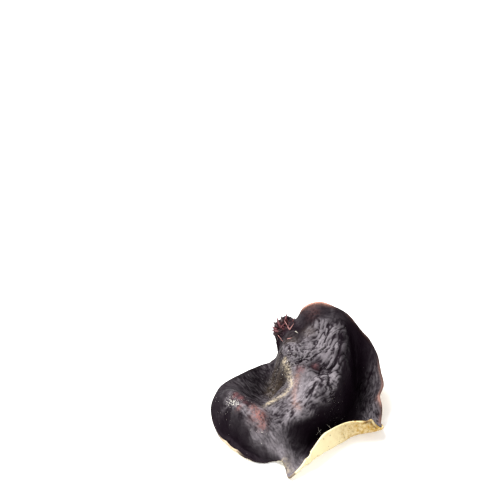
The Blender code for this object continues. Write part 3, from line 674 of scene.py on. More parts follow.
def sheet(angle, reach):
    """The middle of the sheet at an angle and a reach from 0 to 1, with its distance in from the edge.

    Up to the margin it is a bent plate. Past the margin it rolls: each step goes on square to the
    margin, along a heading that has turned up by that rim's angle. The outline's notches and corners
    fade towards the middle.
    """
    rows = np.array(MARGIN)
    away = rows[:, :2] - MIDDLE
    knots = np.arctan2(away[:, 1], away[:, 0])
    far = np.hypot(away[:, 0], away[:, 1])
    radius = round_trip(knots, far, angle)
    rim = softened(knots, rows[:, 3], angle)
    turn = np.radians(softened(knots, rows[:, 4], angle))
    ahead = np.roll(rows[:, :2], -1, axis=0) - np.roll(rows[:, :2], 1, axis=0)
    askew = np.arctan2(ahead[:, 0], -ahead[:, 1]) - knots
    askew = np.mod(askew + np.pi, 2 * np.pi) - np.pi
    square = angle + softened(knots, askew, angle)
    offsets = np.arange(1 - BROADENING_STEPS, BROADENING_STEPS) / BROADENING_STEPS
    shares = 1.0 + np.cos(np.pi * offsets)
    broad = sum(
        share * round_trip(knots, far + rows[:, 3], angle + offset * BROADENING)
        for share, offset in zip(shares / shares.sum(), offsets))
    plate = bend_plate(np.concatenate([rows[:, :3], np.array(SPOTS)]))
    full = radius + rim
    run = reach * (broad + (full - broad) * reach ** OUTLINE_POWER)
    inside = np.minimum(run, radius)
    past = run - inside
    out = np.stack([np.cos(angle), np.sin(angle)], axis=-1)
    place = MIDDLE + inside[..., None] * out
    edge = MIDDLE + radius[..., None] * out
    z = plate_height(place, plate) + lifted(place, FOLDS)
    rise = plate_height(edge, plate) - plate_height(edge - SLOPE_RUN * out, plate)
    start = np.arctan(rise / SLOPE_RUN)
    for lean_x, lean_y, push_x, push_y, width in LEANS:
        near = patches(place, ((lean_x, lean_y, width, 1),))
        place = place + near[..., None] * (push_x, push_y)
    turn_length = np.minimum(TURN_LENGTH, TURN_SHARE * rim)
    level = 0.0
    for step in range(ROLL_STEPS):
        heading = start + turn * ease(past * (step + 0.5) / ROLL_STEPS / turn_length)
        level = level + np.cos(heading) * past / ROLL_STEPS
        z = z + np.sin(heading) * past / ROLL_STEPS
    above = z - LOWEST_MIDDLE
    z = LOWEST_MIDDLE + 0.5 * (above + np.sqrt(above ** 2 + SETTLING ** 2))
    x, y = place[..., 0] + level * np.cos(square), place[..., 1] + level * np.sin(square)
    return np.stack([x, y, z], axis=-1), full - run


def calmed_rim(angle):
    """How far the turned-up rim's edge moves, at each angle, to run along a calmer line.

    The calmer line is the edge's mean under a bell curve over the angles close by.
    """
    around = np.radians(np.arange(-180.0, 180.0, CALM_STEP))
    edge = sheet(around, np.ones_like(around))[0]
    steps = np.arange(-CALM_STEPS, CALM_STEPS + 1)
    share = np.exp(-0.5 * (CALM_STEP * steps / CALM_SPREAD) ** 2)
    calm = sum(
        part * np.roll(edge, -step, axis=0) for part, step in zip(share / share.sum(), steps))
    degrees = np.degrees(around)
    within = ease((degrees - CALM_FROM) / CALM_FADE) * ease((CALM_TO - degrees) / CALM_FADE)
    shift = (calm - edge) * within[:, None]
    return np.stack([np.interp(angle, around, shift[:, axis]) for axis in range(3)], axis=-1)


def smoothed(grid, rounds):
    """Each inner point half itself and half the middle of its four neighbours, some rounds over."""
    grid = grid.copy()
    for _ in range(rounds):
        around = grid[2:, 1:-1] + grid[:-2, 1:-1] + grid[1:-1, 2:] + grid[1:-1, :-2]
        grid[1:-1, 1:-1] = 0.5 * grid[1:-1, 1:-1] + 0.125 * around
    return grid


def evened_grid(count):
    """A grid over the square, moved along its rows and columns until the sheet's cells are alike."""
    line = np.linspace(-1.0, 1.0, count)
    even = np.linspace(0.0, 1.0, count)
    places = np.stack(np.meshgrid(line, line, indexing="ij"), axis=-1)
    for turn in range(EVENING_ROUNDS * 2):
        middle = sheet(*on_disc(places))[0]
        if turn % 2:
            places, middle = places.swapaxes(0, 1), middle.swapaxes(0, 1)
        step = np.linalg.norm(np.diff(middle, axis=1), axis=-1)
        away = np.linalg.norm(middle[:, 1:, :2] - FINER_PLACE, axis=-1)
        step = step * (1.0 + FINER_SHARE * np.exp(-(away / FINER_REACH) ** 2))
        step = step + EVENING_FLOOR * step.mean(axis=1, keepdims=True)
        walked = np.concatenate([np.zeros((count, 1)), np.cumsum(step, axis=1)], axis=1)
        walked /= walked[:, -1:]
        places = smoothed(np.array([
            np.stack([np.interp(even, w, column) for column in row.T], axis=-1)
            for w, row in zip(walked, places)
        ]), SMOOTHING_ROUNDS)
        if turn % 2:
            places = places.swapaxes(0, 1)
    return places


def between_cells(field, i, j):
    """A grid's values at places between its points, blended along both of its sides."""
    last = field.shape[0] - 1
    i = np.clip(i, 0, last - 1e-6)
    j = np.clip(j, 0, last - 1e-6)
    low_i, low_j = i.astype(int), j.astype(int)
    ti, tj = i - low_i, j - low_j
    if field.ndim == 3:
        ti, tj = ti[..., None], tj[..., None]
    near = field[low_i, low_j] * (1 - tj) + field[low_i, low_j + 1] * tj
    next_row = field[low_i + 1, low_j] * (1 - tj) + field[low_i + 1, low_j + 1] * tj
    return near * (1 - ti) + next_row * ti


def finer(grid, cells):
    """The same grid with more cells a side, blended between its points and then smoothed a little."""
    line = np.linspace(0, grid.shape[0] - 1, cells + 1)
    i, j = np.meshgrid(line, line, indexing="ij")
    return smoothed(between_cells(grid, i, j), SMOOTHING_ROUNDS)


def corner_normals(points):
    """A unit normal at each point of the grid: the sum of the normals of the cells around it."""
    cell = np.cross(points[1:, 1:] - points[:-1, :-1], points[:-1, 1:] - points[1:, :-1])
    total = np.zeros_like(points)
    for part in (np.s_[:-1, :-1], np.s_[1:, :-1], np.s_[:-1, 1:], np.s_[1:, 1:]):
        total[part] += cell
    return unit(total)


def scattered(number):
    """A share from 0 to 1 for each whole number, with no order that shows, by mixing its bits."""
    number = np.asarray(number, np.int64) & LOW_BITS
    for _ in range(2):
        number = ((number >> 16) ^ number) * BIT_MIXER & LOW_BITS
    return ((number >> 16) ^ number) / LOW_BITS


def cloud(places, seed):
    """Smooth noise from -1 to 1: scattered values at whole x, y and z, eased between them."""
    low = np.floor(places).astype(np.int64)
    t = ease(places - low)
    total = np.zeros(places.shape[:-1])
    for corner in range(8):
        bits = np.array([corner & 1, corner >> 1 & 1, corner >> 2 & 1])
        mixed = (low + bits) * LATTICE_PRIMES
        value = scattered(mixed[..., 0] ^ mixed[..., 1] ^ mixed[..., 2] ^ seed)
        total += np.prod(np.where(bits, t, 1 - t), axis=-1) * (2 * value - 1)
    return total


def skin_flow(points):
    """How the skin lies: steps a millimetre long down its wrinkles, in grid cells, and other values.

    The heading and the values at a point blend those of the rows of SKIN_SPOTS, nearest first, by
    1 / (distance squared + reach squared) squared. Headings blend as doubled angles, because a wrinkle
    runs both ways. A step is then solved from the grid's own two sides, seen from above.
    """
    rows = np.array(SKIN_SPOTS)
    share = 1.0 / (squared_ways(points, rows) + SKIN_REACH ** 2) ** 2
    share /= share.sum(axis=-1, keepdims=True)
    doubled = np.radians(2 * rows[:, 2])
    heading = 0.5 * np.arctan2(share @ np.sin(doubled), share @ np.cos(doubled))
    heading = heading + WAVINESS * cloud(points / WAVE_LATTICE, WAVE_SEED)
    along_i, along_j = np.gradient(points, axis=0), np.gradient(points, axis=1)
    area = along_i[..., 0] * along_j[..., 1] - along_i[..., 1] * along_j[..., 0]
    area = np.where(np.abs(area) < 1e-6, 1e-6, area)
    step_i = (np.cos(heading) * along_j[..., 1] - np.sin(heading) * along_j[..., 0]) / area
    step_j = (np.sin(heading) * along_i[..., 0] - np.cos(heading) * along_i[..., 1]) / area
    length = np.linalg.norm(along_i * step_i[..., None] + along_j * step_j[..., None], axis=-1)
    flow = np.stack([step_i / length, step_j / length], axis=-1)
    return flow, np.moveaxis(share @ (rows[:, 3:] / 100), -1, 0)


def wrinkled(points, flow, lattice, seed, run):
    """Ridges along the flow: noise meaned over a stretch of the flow's line through each point.

    With v that mean, in its own spreads, the ridges are min(|v|, cap) to a power, less their mean.
    """
    field = cloud(points / lattice, seed)
    total = field.copy()
    count = np.arange(field.shape[0], dtype=float)
    for way in (-1, 1):
        i, j = np.meshgrid(count, count, indexing="ij")
        for _ in range(STREAK_STEPS):
            step = way * run / STREAK_STEPS * between_cells(flow, i, j)
            i, j = i + step[..., 0], j + step[..., 1]
            total += between_cells(field, i, j)
    total -= total.mean()
    return np.minimum(np.abs(total / total.std()), RIDGE_CAP) ** RIDGE_POWER - RIDGE_MEAN


@lru_cache(maxsize=1)
def ear_grids(back_cells, wrinkle_height):
    """The ear as grids: its upper side, its coarser back, and the fields that its materials read."""
    angle, reach = on_disc(finer(evened_grid(COARSE_CELLS + 1), 3 * back_cells))
    middle, inset = sheet(angle, reach)
    middle = middle + calmed_rim(angle) * ease(1.0 - inset / CALM_RUN)[..., None]
    torn = patches(middle, TORN_PATCH)
    rags = np.stack([cloud(middle / TORN_LATTICE, seed) for seed in TORN_SEEDS], axis=-1)
    middle = middle + TORN_HEIGHT * torn[..., None] * rags
    normal = unit(smoothed(corner_normals(middle), NORMAL_ROUNDS))
    thick = MARGIN_THICKNESS + (SHEET_THICKNESS - MARGIN_THICKNESS) * ease(inset / THINNING_WIDTH)
    half = (0.5 * (thick + STUB_EXTRA_THICKNESS * patches(middle, STUB_PATCH)))[..., None]
    flow, (*heights, crumb_height, silver) = skin_flow(middle)
    relief = lifted(middle, CREASES) + crumb_height * cloud(middle / CRUMB_LATTICE, CRUMB_SEED)
    for height, (share, lattice, seed, run) in zip(heights, WRINKLES):
        relief += share * height * wrinkled(middle, flow, lattice, seed, run)
    off_edge = EDGE_RELIEF + (1 - EDGE_RELIEF) * ease(inset / EDGE_RELIEF_WIDTH)
    relief *= wrinkle_height * off_edge
    upper = middle + normal * (half + relief[..., None])
    grain = BACK_GRAIN * cloud(middle / BACK_LATTICE, BACK_SEED)
    back = middle - normal * (half + grain[..., None])
    upper[..., 2] = np.maximum(upper[..., 2], 0.5 * MARGIN_THICKNESS)
    back[..., 2] = np.maximum(back[..., 2], 0.0)
    # Painted shade: the bloom is darkened past each border
    for border in PAINTED_SHADE_BORDERS:
        silver = silver * (1.0 - shade(upper, border))
    fields = {
        # The relief, by which the skin is painted lighter on the wrinkles' crests as a painted
        # highlight, partly their real bloom, and darker in their creases as painted shade
        "crest": np.clip(0.5 + 1.5 * relief, 0, 1),
        "silver": silver + drawn(middle, BLOOM_AND_HIGHLIGHT_LINES),
        "gold": drawn(middle, GOLD_AND_HIGHLIGHT_LINES),
        "pink": drawn(middle, PINK_LINES),
        "torn": torn,
        "edge": np.exp(-inset / EDGE_WIDTH),
        "ochre": OCHRE_SHARE * ease((middle[..., 0] - OCHRE_FROM) / OCHRE_RUN),
    }
    fields.update((name, patches(middle, rows)) for name, rows in PATCHES.items())
    return upper, back[::3, ::3], fields


def rim_loop(count):
    """The grid places around the square's border, in order, each once."""
    last = count - 1
    steps = np.arange(last)
    zero = np.zeros(last, int)
    rows = np.concatenate([steps, zero + last, last - steps, zero])
    return rows, np.roll(rows, last)


def grid_cells(place):
    """The four corners of each cell of a grid of point numbers."""
    corners = place[:-1, :-1], place[1:, :-1], place[1:, 1:], place[:-1, 1:]
    return np.stack(corners, axis=-1).reshape(-1, 4)


def split_cells(points, cells):
    """Each four-cornered cell as two triangles, parted along its shorter diagonal."""
    a, b, c, d = cells.T
    first = np.linalg.norm(points[a] - points[c], axis=1)
    second = np.linalg.norm(points[b] - points[d], axis=1)
    along_first = np.stack([a, b, c, a, c, d], axis=1)
    along_second = np.stack([a, b, d, b, c, d], axis=1)
    return np.where((first <= second)[:, None], along_first, along_second).reshape(-1, 3)


def closed_ear(upper, back):
    """Points and faces of the whole ear, upper faces first: two grids joined by a rounded edge.

    The back's grid has one cell for every three of the upper side's, so each of its border cells is
    joined to three cells of the edge by four triangles.
    """
    count, few = upper.shape[0], back.shape[0]
    rows, columns = rim_loop(count)
    top_edge = upper[rows, columns]
    low_loop = rim_loop(few)
    low_edge = back[low_loop]
    share = (np.arange(len(rows)) % 3 / 3.0)[:, None]
    following = np.repeat(np.roll(low_edge, -1, axis=0), 3, axis=0)
    low_edge = np.repeat(low_edge, 3, axis=0) * (1 - share) + following * share
    between = 0.5 * (top_edge + low_edge)
    outward = top_edge - upper[np.clip(rows, 1, count - 2), np.clip(columns, 1, count - 2)]
    across = top_edge - low_edge
    thick = np.linalg.norm(across, axis=1, keepdims=True)
    across = across / thick
    outward = unit(outward - (outward * across).sum(axis=1, keepdims=True) * across)
    rings = []
    for turn in np.radians((-45, 0, 45)):
        ring = between + EDGE_ROUNDING * thick * (np.cos(turn) * outward - np.sin(turn) * across)
        ring[:, 2] = np.maximum(ring[:, 2], LOWEST_EDGE * (turn <= 0))
        rings.append(ring)
    points = np.concatenate([upper.reshape(-1, 3), back.reshape(-1, 3)] + rings)
    place = np.arange(count * count).reshape(count, count)
    low_place = count * count + np.arange(few * few).reshape(few, few)
    first = count * count + few * few
    bands = [place[rows, columns]] + [first + n * len(rows) + np.arange(len(rows)) for n in range(3)]
    cells = [grid_cells(place), grid_cells(low_place)[:, ::-1]] + [
        np.stack([np.roll(high, -1), high, under, np.roll(under, -1)], axis=1)
        for high, under in zip(bands[:-1], bands[1:])
    ]
    faces = [split_cells(points, part) for part in cells]
    a, b, c = bands[-1].reshape(-1, 3).T
    low = low_place[low_loop]
    low_next = np.roll(low, -1)
    corners = (b, a, low), (c, b, low), (c, low, low_next), (np.roll(a, -1), c, low_next)
    faces += [np.stack(part, axis=1) for part in corners]
    return points, np.concatenate(faces), len(faces[0])


def strands(starts, ways, sags, lengths, widths, rings):
    """Points and faces of tapering strands, three-sided and closed, that end in a point.

    The middle of a strand at a share t of its length is start + length * (way * t + sag * t * t), and
    its width shrinks as (1 - t) to the power 0.7.
    """
    ways = unit(ways)
    side = unit(np.cross(ways, ASIDE))
    other = np.cross(ways, side)
    t = (np.arange(rings) / rings)[None, :, None]
    run = lengths[:, None, None] * (ways[:, None] * t + sags[:, None] * t * t)
    middles = starts[:, None] + run
    turns = np.radians((0, 120, 240))[None, None, :, None]
    around = np.cos(turns) * side[:, None, None] + np.sin(turns) * other[:, None, None]
    taper = (1 - t)[..., None] ** STRAND_TAPER
    body = middles[:, :, None] + widths[:, None, None, None] * taper * around
    tips = starts + lengths[:, None] * (ways + sags)
    points = np.concatenate([body.reshape(len(starts), -1, 3), tips[:, None]], axis=1)
    faces = [(0, 2, 1)]
    for k in range(0, 3 * rings, 3):
        for a, b in ((k, k + 1), (k + 1, k + 2), (k + 2, k)):
            last = k == 3 * rings - 3
            faces += [(a, b, 3 * rings)] if last else [(a, b, b + 3), (a, b + 3, a + 3)]
    faces = np.array(faces)[None] + (points.shape[1] * np.arange(len(starts)))[:, None, None]
    return points.reshape(-1, 3), faces.reshape(-1, 3)


def grains(places, radii):
    """Points and faces of small rough grains: eight-sided, each corner in or out by its own share."""
    rng = np.random.default_rng(GRAIN_SEED)
    corners = np.array([(1, 0, 0), (0, 1, 0), (-1, 0, 0), (0, -1, 0), (0, 0, 1), (0, 0, -1)], float)
    reach = radii[:, None, None] * rng.uniform(*GRAIN_ROUGHNESS, (len(places), 6, 1))
    points = places[:, None] + corners * reach
    top = [(k, (k + 1) % 4, 4) for k in range(4)]
    low = [((k + 1) % 4, k, 5) for k in range(4)]
    faces = np.array(top + low)[None] + 6 * np.arange(len(places))[:, None, None]
    return points.reshape(-1, 3), faces.reshape(-1, 3)


def add_piece(name, points, faces, materials, slots=None, fields=None, lowest=0.0):
    """A piece of the ear at the origin, from points in millimetres, that stands for its solid.

    The points move as the sheet does and stay above a lowest height. Each field becomes a float
    attribute, and each slot says which material its face has.
    """
    points = points - (*BOX_MIDDLE, 0.0)
    points[:, 2] = np.maximum(points[:, 2], lowest)
    mesh = bpy.data.meshes.new(name)
    mesh.from_pydata((points * MM).tolist(), [], faces.tolist())
    for material in materials:
        mesh.materials.append(material)
    if slots is not None:
        mesh.polygons.foreach_set("material_index", slots)
    for field, values in (fields or {}).items():
        attribute = mesh.attributes.new(field, "FLOAT", "POINT")
        attribute.data.foreach_set("value", values.astype(np.float32))
    mesh.shade_smooth()
    mesh.update()
    piece = bpy.data.objects.new(name, mesh)
    bpy.context.scene.collection.objects.link(piece)
    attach(piece, "root")
    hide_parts("wood_ear")


class NodeTree:
    """Short calls for laying out a material's or a group's nodes."""

    def __init__(self, tree):
        self.tree = tree

    def add(self, kind, inputs=None, **settings):
        node = self.tree.nodes.new(kind)
        for name, value in settings.items():
            setattr(node, name, value)
        self.feed(node, inputs or {})
        return node

    def feed(self, node, inputs):
        """Links sockets to their sources, or sets their values. A colour is a row of three."""
        for name, source in inputs.items():
            socket = node.inputs[name]
            if isinstance(source, bpy.types.NodeSocket):
                self.tree.links.new(source, socket)
            else:
                plain = isinstance(source, (int, float))
                socket.default_value = source if plain else (*source, 1.0)

    def field(self, name):
        """One of the values that the mesh carries at its points."""
        return self.add("ShaderNodeAttribute", attribute_name=name).outputs["Fac"]

    def place(self):
        return self.add("ShaderNodeTexCoord").outputs["Object"]

    def noise(self, place, scale, detail, roughness):
        inputs = {"Vector": place, "Scale": scale, "Detail": detail, "Roughness": roughness}
        return self.add("ShaderNodeTexNoise", inputs).outputs["Fac"]

    def maths(self, operation, *sources):
        inputs = dict(enumerate(sources))
        return self.add("ShaderNodeMath", inputs, operation=operation).outputs[0]

    def spread(self, value, low, high, to_low=0.0, to_high=1.0):
        """Eases a value from one range into another."""
        names = "Value", "From Min", "From Max", "To Min", "To Max"
        inputs = dict(zip(names, (value, low, high, to_low, to_high)))
        return self.add("ShaderNodeMapRange", inputs, interpolation_type="SMOOTHSTEP").outputs[0]

    def blend(self, share, first, second):
        """The first colour with a share of the second laid over it."""
        inputs = {0: share, 6: first, 7: second}
        return self.add("ShaderNodeMix", inputs, data_type="RGBA").outputs[2]

    def varied(self, value, *ways):
        """A value times some others, each eased from one range into another first."""
        for source, *ranges in ways:
            value = self.maths("MULTIPLY", value, self.spread(source, *ranges))
        return value

    def tints(self, colour, rows):
        """Lays tints over a colour, each where its field is strong, broken up by a noise."""
        for field, noise, low, high, tint in rows:
            colour = self.blend(self.varied(self.field(field), (noise, low, high)), colour, tint)
        return colour

    def pores(self, place, scale, distance, strength):
        """The bumped normal of the dried tissue's finest relief."""
        group = self.add("ShaderNodeGroup", {"Place": place, "Scale": scale}, node_tree=pores_group())
        inputs = {"Height": group.outputs["Height"], "Distance": distance, "Strength": strength}
        return self.add("ShaderNodeBump", inputs).outputs["Normal"]


def new_material(name):
    """A material, the short calls for its nodes, and its Principled shader."""
    material = bpy.data.materials.new(name)
    material.use_nodes = True
    return material, NodeTree(material.node_tree), material.node_tree.nodes["Principled BSDF"]


def pores_group():
    """A node group with the finest relief of dried tissue: pores and grains at a given size."""
    tree = bpy.data.node_groups.get("dried_pores")
    if tree:
        return tree
    tree = bpy.data.node_groups.new("dried_pores", "ShaderNodeTree")
    tree.interface.new_socket("Place", in_out="INPUT", socket_type="NodeSocketVector")
    tree.interface.new_socket("Scale", in_out="INPUT", socket_type="NodeSocketFloat")
    tree.interface.new_socket("Height", in_out="OUTPUT", socket_type="NodeSocketFloat")
    nodes = NodeTree(tree)
    given = nodes.add("NodeGroupInput").outputs
    inputs = {"Vector": given["Place"], "Scale": given["Scale"], "Smoothness": 0.6}
    cells = nodes.add("ShaderNodeTexVoronoi", inputs, feature="SMOOTH_F1")
    grain = nodes.noise(given["Place"], given["Scale"], detail=6.0, roughness=0.65)
    height = nodes.maths("MULTIPLY_ADD", cells.outputs["Distance"], 0.5, grain)
    nodes.add("NodeGroupOutput", {"Height": height})
    return tree


def skin_material(settings):
    """The upper side: near black, with a bloom that carries painted sheen and painted shade, rust
    places, golden places with painted highlights, a painted edge glow, and wrinkled gloss.
    """
    material, nodes, shader = new_material("wood_ear_skin")
    place = nodes.place()
    broad = nodes.noise(place, scale=260.0, detail=5.0, roughness=0.65)
    fine = nodes.noise(place, scale=1100.0, detail=5.0, roughness=0.7)
    # Bloom with painted sheen: lighter on the wrinkles' crests as a painted highlight, near black in
    # their creases as painted shade, and broken up by noise
    bloom = nodes.varied(
        nodes.field("silver"), (nodes.field("crest"), 0.24, 0.80, 0.06, 1.45),
        (broad, 0.30, 0.62, 0.8, 1.1), (fine, 0.25, 0.75, 0.75, 1.15))
    colour = nodes.tints(nodes.blend(bloom, settings.skin_colour, settings.bloom_and_sheen_colour), (
        ("rust", fine, 0.34, 0.60, settings.rust_colour),
        ("wine", fine, 0.25, 0.60, WINE_COLOUR),
        ("pink", fine, 0.30, 0.60, PINK_COLOUR),
        ("gold", fine, 0.37, 0.63, settings.gold_and_highlight_colour),
        ("brown", fine, 0.30, 0.60, BROWN_COLOUR),
        ("torn", broad, 0.30, 0.60, TORN_COLOUR)))
    # The edge's painted glow of light shining through the thin margin, partly its own reddish tone
    edge = nodes.maths("MULTIPLY", nodes.field("edge"), nodes.field("edge_glow"))
    edge = nodes.varied(edge, (fine, 0.3, 0.6, 0.6, 1.8))
    nodes.feed(shader, {
        "Base Color": nodes.blend(edge, colour, GLOW_COLOUR),
        "Roughness": nodes.spread(fine, 0.3, 0.7, 0.42, 0.60),
        "Specular IOR Level": 0.04,
        "Specular Tint": (1.0, 0.80, 0.95),
        "Normal": nodes.pores(place, scale=1500.0, distance=0.00012, strength=0.7)})
    return material


def felt_material(settings):
    """The back and the margin: matt pale felt with ochre mottles and a few dark dots."""
    material, nodes, shader = new_material("wood_ear_felt")
    place = nodes.place()
    broad = nodes.noise(place, scale=260.0, detail=4.0, roughness=0.6)
    fine = nodes.noise(place, scale=900.0, detail=5.0, roughness=0.7)
    ochre = nodes.varied(
        nodes.field("ochre"), (broad, 0.30, 0.70, 0.45, 1.1), (fine, 0.32, 0.68, 0.35, 1.45))
    colour = nodes.blend(ochre, settings.felt_colour, settings.ochre_colour)
    dots = nodes.add("ShaderNodeTexVoronoi", {"Vector": place, "Scale": 420.0}, feature="F1")
    dot = nodes.spread(dots.outputs["Distance"], 0.10, 0.17, 0.55, 0.0)
    colour = nodes.blend(dot, colour, DOT_COLOUR)
    colour = nodes.tints(colour, (("stain", broad, 0.3, 0.6, STAIN_COLOUR),))
    bare = nodes.maths("SUBTRACT", nodes.field("edge"), nodes.field("felted"))
    # The bare edge: near black, with a painted glow of light through the thin margin, partly its own
    # reddish tone, and tan
    bare_colour = nodes.blend(nodes.field("edge_glow"), BARE_COLOUR, BARE_GLOW_COLOUR)
    bare_colour = nodes.blend(nodes.field("edge_tan"), bare_colour, BARE_TAN_COLOUR)
    nodes.feed(shader, {
        "Base Color": nodes.blend(nodes.spread(bare, 0.3, 0.6), colour, bare_colour),
        "Roughness": 0.95,
        "Specular IOR Level": 0.2,
        "Normal": nodes.pores(place, scale=1800.0, distance=0.00010, strength=0.6)})
    return material


def plain_material(name, colour, roughness):
    """A material of one colour with a little noise in its tone."""
    material, nodes, shader = new_material(name)
    noise = nodes.noise(nodes.place(), scale=800.0, detail=3.0, roughness=0.6)
    tone = nodes.spread(noise, 0.35, 0.65)
    dark = tuple(0.7 * c for c in colour)
    nodes.feed(shader, {"Base Color": nodes.blend(tone, dark, colour), "Roughness": roughness})
    return material


def grown_ear(context):
    """The settings, and the ear's upper side, back and fields made with them."""
    settings = context.scene.wood_ear
    return settings, *ear_grids(settings.back_cells, settings.wrinkle_height)


def drawn_lots(rng, weight, count):
    """Some places of a row, drawn as often as their weights say."""
    return rng.choice(len(weight), count, p=weight / weight.sum())


class WOODEAR_OT_ear(bpy.types.Operator):
    """Makes the curled ear with its wrinkled upper side, its felt back and its rounded edge"""

    bl_idname = "woodear.ear"
    bl_label = "Ear"

    def execute(self, context):
        settings, upper, back, fields = grown_ear(context)
        points, faces, upper_faces = closed_ear(upper, back)
        slots = np.ones(len(faces), np.int32)
        slots[:upper_faces] = 0
        border = rim_loop(upper.shape[0])
        per_point = {
            name: np.concatenate([grid.ravel(), grid[::3, ::3].ravel()] + [grid[border]] * 3)
            for name, grid in fields.items()
        }
        materials = [skin_material(settings), felt_material(settings)]
        add_piece("wood_ear_sheet", points, faces, materials, slots, per_point)
        return {"FINISHED"}


class WOODEAR_OT_hairs(bpy.types.Operator):
    """Makes the short pale hairs of the felt on the ear's back and its turned-up front rim"""

    bl_idname = "woodear.hairs"
    bl_label = "Felt hairs"

    def execute(self, context):
        settings, _, back, fields = grown_ear(context)
        rng = np.random.default_rng(HAIR_SEED)
        count = settings.hair_count
        at = drawn_lots(rng, HAIRS_ON_BACK + HAIRS_ON_RIM * fields["felted"][::3, ::3].ravel(), count)
        side = back.shape[0]
        i = np.clip(at // side + rng.uniform(-0.5, 0.5, count), 0, side - 1)
        j = np.clip(at % side + rng.uniform(-0.5, 0.5, count), 0, side - 1)
        outward = between_cells(-corner_normals(back), i, j)
        ways = outward + rng.normal(0, HAIR_TILT, (count, 3))
        lengths = settings.hair_length / MM * rng.uniform(*HAIR_LENGTHS, count)
        sags = rng.normal(0, HAIR_SAG, (count, 3))
        roots = between_cells(back, i, j) - HAIR_ROOT * ways
        points, faces = strands(roots, ways, sags, lengths, np.full(count, HAIR_WIDTH), 1)
        felt = bpy.data.materials.get("wood_ear_felt") or felt_material(settings)
        tones = {
            name: np.repeat(between_cells(fields[name][::3, ::3], i, j), POINTS_PER_HAIR)
            for name in ("ochre", "stain")
        }
        add_piece("felt_hairs", points, faces, [felt], None, tones, LOWEST_BIT)
        return {"FINISHED"}


class WOODEAR_OT_torn(bpy.types.Operator):
    """Makes the torn tissue of the stub, the splinter at the margin and a few loose fibres"""

    bl_idname = "woodear.torn"
    bl_label = "Torn stub and fibres"

    def execute(self, context):
        _, upper, _, _ = grown_ear(context)
        rng = np.random.default_rng(SHRED_SEED)
        flat = upper.reshape(-1, 3)
        roots = flat[drawn_lots(rng, patches(flat, SHRED_PATCH), SHREDS)]
        ways = rng.normal(0, SHRED_TILT, (SHREDS, 3)) + SHRED_WAY
        sags = rng.normal(0, SHRED_SAG, (SHREDS, 3))
        lengths = rng.uniform(*SHRED_LENGTHS, SHREDS)
        widths = rng.uniform(*SHRED_WIDTHS, SHREDS)
        flaps = np.array(FLAPS)
        starts, flap_ways = flaps[:, :3], flaps[:, 3:6] - flaps[:, :3]
        points, faces = strands(
            np.concatenate([roots - SHRED_ROOT * ways, starts]),
            np.concatenate([ways, flap_ways]),
            np.concatenate([sags, np.zeros_like(starts)]),
            np.concatenate([lengths, np.linalg.norm(flap_ways, axis=1)]),
            np.concatenate([widths, flaps[:, 6]]),
            SHRED_RINGS)
        kinds = np.concatenate([rng.random(SHREDS) < RED_SHREDS, flaps[:, 7]]).astype(np.int32)
        materials = [plain_material(*row) for row in TORN_MATERIALS]
        slots = np.repeat(kinds, len(faces) // len(kinds))
        add_piece("torn_tissue", points, faces, materials, slots, lowest=LOWEST_BIT)
        return {"FINISHED"}


class WOODEAR_OT_dust(bpy.types.Operator):
    """Makes the pale dust and the few larger specks that lie on the skin"""

    bl_idname = "woodear.dust"
    bl_label = "Dust and specks"

    def execute(self, context):
        settings, upper, _, _ = grown_ear(context)
        rng = np.random.default_rng(DUST_SEED)
        flat = upper.reshape(-1, 3)
        count = settings.dust_count
        places = flat[drawn_lots(rng, patches(flat, DUST_PATCHES) + DUST_ANYWHERE, count)]
        places = places + rng.normal(0, DUST_LIFT, (count, 3))
        radii = rng.uniform(*DUST_RADII, count)
        specks = flat[[np.argmin(((flat - row[:3]) ** 2).sum(axis=1)) for row in SPECKS]]
        sparks = flat[drawn_lots(rng, patches(flat, GLITTER), SPARKS)]
        spark_radii = rng.uniform(*SPARK_RADII, SPARKS)
        points, faces = grains(
            np.concatenate([places, specks, sparks]),
            np.concatenate([radii, [row[3] for row in SPECKS], spark_radii]))
        material = plain_material("dust", DUST_COLOUR, 0.8)
        add_piece("dust", points, faces, [material], lowest=LOWEST_BIT)
        return {"FINISHED"}


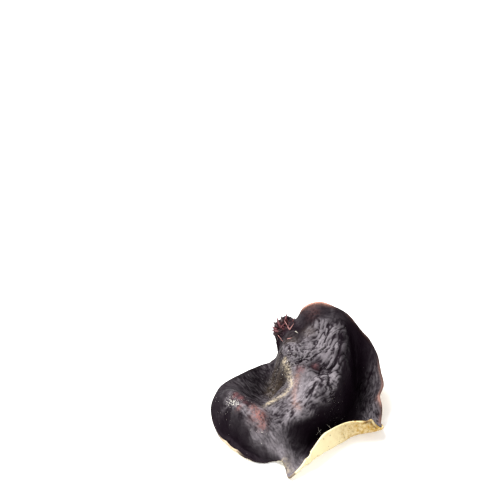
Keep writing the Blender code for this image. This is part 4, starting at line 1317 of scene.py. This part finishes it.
class WOODEAR_OT_stage(bpy.types.Operator):
    """Makes the pale floor, the soft studio light and the camera at the photograph's angle"""

    bl_idname = "woodear.stage"
    bl_label = "Floor, light and camera"

    def execute(self, context):
        scene = context.scene

        def placed(name, data, place):
            thing = bpy.data.objects.new(name, data)
            thing.location = place
            scene.collection.objects.link(thing)
            return thing

        mesh = bpy.data.meshes.new("floor")
        reach = FLOOR_REACH
        corners = (-reach, -reach, 0), (reach, -reach, 0), (reach, reach, 0), (-reach, reach, 0)
        mesh.from_pydata(corners, [], [(0, 1, 2, 3)])
        floor = placed("floor", mesh, (0, 0, FLOOR_HEIGHT))
        material, nodes, shader = new_material("floor_paper")
        nodes.feed(shader, {
            "Base Color": (0.90, 0.90, 0.90), "Roughness": 0.9,
            "Emission Color": (1.0, 0.99, 0.98), "Emission Strength": 0.24})
        mesh.materials.append(material)
        world = bpy.data.worlds.new("studio_air")
        world.use_nodes = True
        air = world.node_tree.nodes["Background"].inputs
        air["Color"].default_value = (1.0, 1.0, 1.0, 1.0)
        air["Strength"].default_value = AIR_STRENGTH
        scene.world = world
        for name, place, size, power in LIGHTS:
            data = bpy.data.lights.new(name, "AREA")
            data.energy, data.size = power, size
            turned = (-Vector(place)).to_track_quat("-Z", "Y").to_euler()
            placed(name, data, place).rotation_euler = turned
        data = bpy.data.cameras.new("camera")
        data.sensor_width, data.lens = SENSOR_WIDTH, LENS
        scene.camera = placed("camera", data, CAMERA_PLACE)
        scene.camera.rotation_euler = np.radians(CAMERA_TURN)
        scene.view_settings.view_transform = "Standard"
        return {"FINISHED"}


class WOODEAR_PT_panel(bpy.types.Panel):
    """Lists the ear's sizes, colours and pieces"""

    bl_idname = "WOODEAR_PT_panel"
    bl_label = "Wood ear"
    bl_space_type = "VIEW_3D"
    bl_region_type = "UI"
    bl_category = "Wood ear"

    def draw(self, context):
        for name in WoodEarSettings.__annotations__:
            self.layout.prop(context.scene.wood_ear, name)
        for operator in OPERATORS:
            self.layout.operator(operator.bl_idname)


OPERATORS = (WOODEAR_OT_ear, WOODEAR_OT_hairs, WOODEAR_OT_torn, WOODEAR_OT_dust, WOODEAR_OT_stage)
CLASSES = (WoodEarSettings, *OPERATORS, WOODEAR_PT_panel)


def register():
    for kind in CLASSES:
        bpy.utils.register_class(kind)
    bpy.types.Scene.wood_ear = PointerProperty(type=WoodEarSettings)


def unregister():
    del bpy.types.Scene.wood_ear
    for kind in reversed(CLASSES):
        bpy.utils.unregister_class(kind)


def main():
    register()
    bpy.ops.woodear.ear()
    bpy.ops.woodear.hairs()
    bpy.ops.woodear.torn()
    bpy.ops.woodear.dust()
    bpy.ops.woodear.stage()


if __name__ == "__main__":
    main()
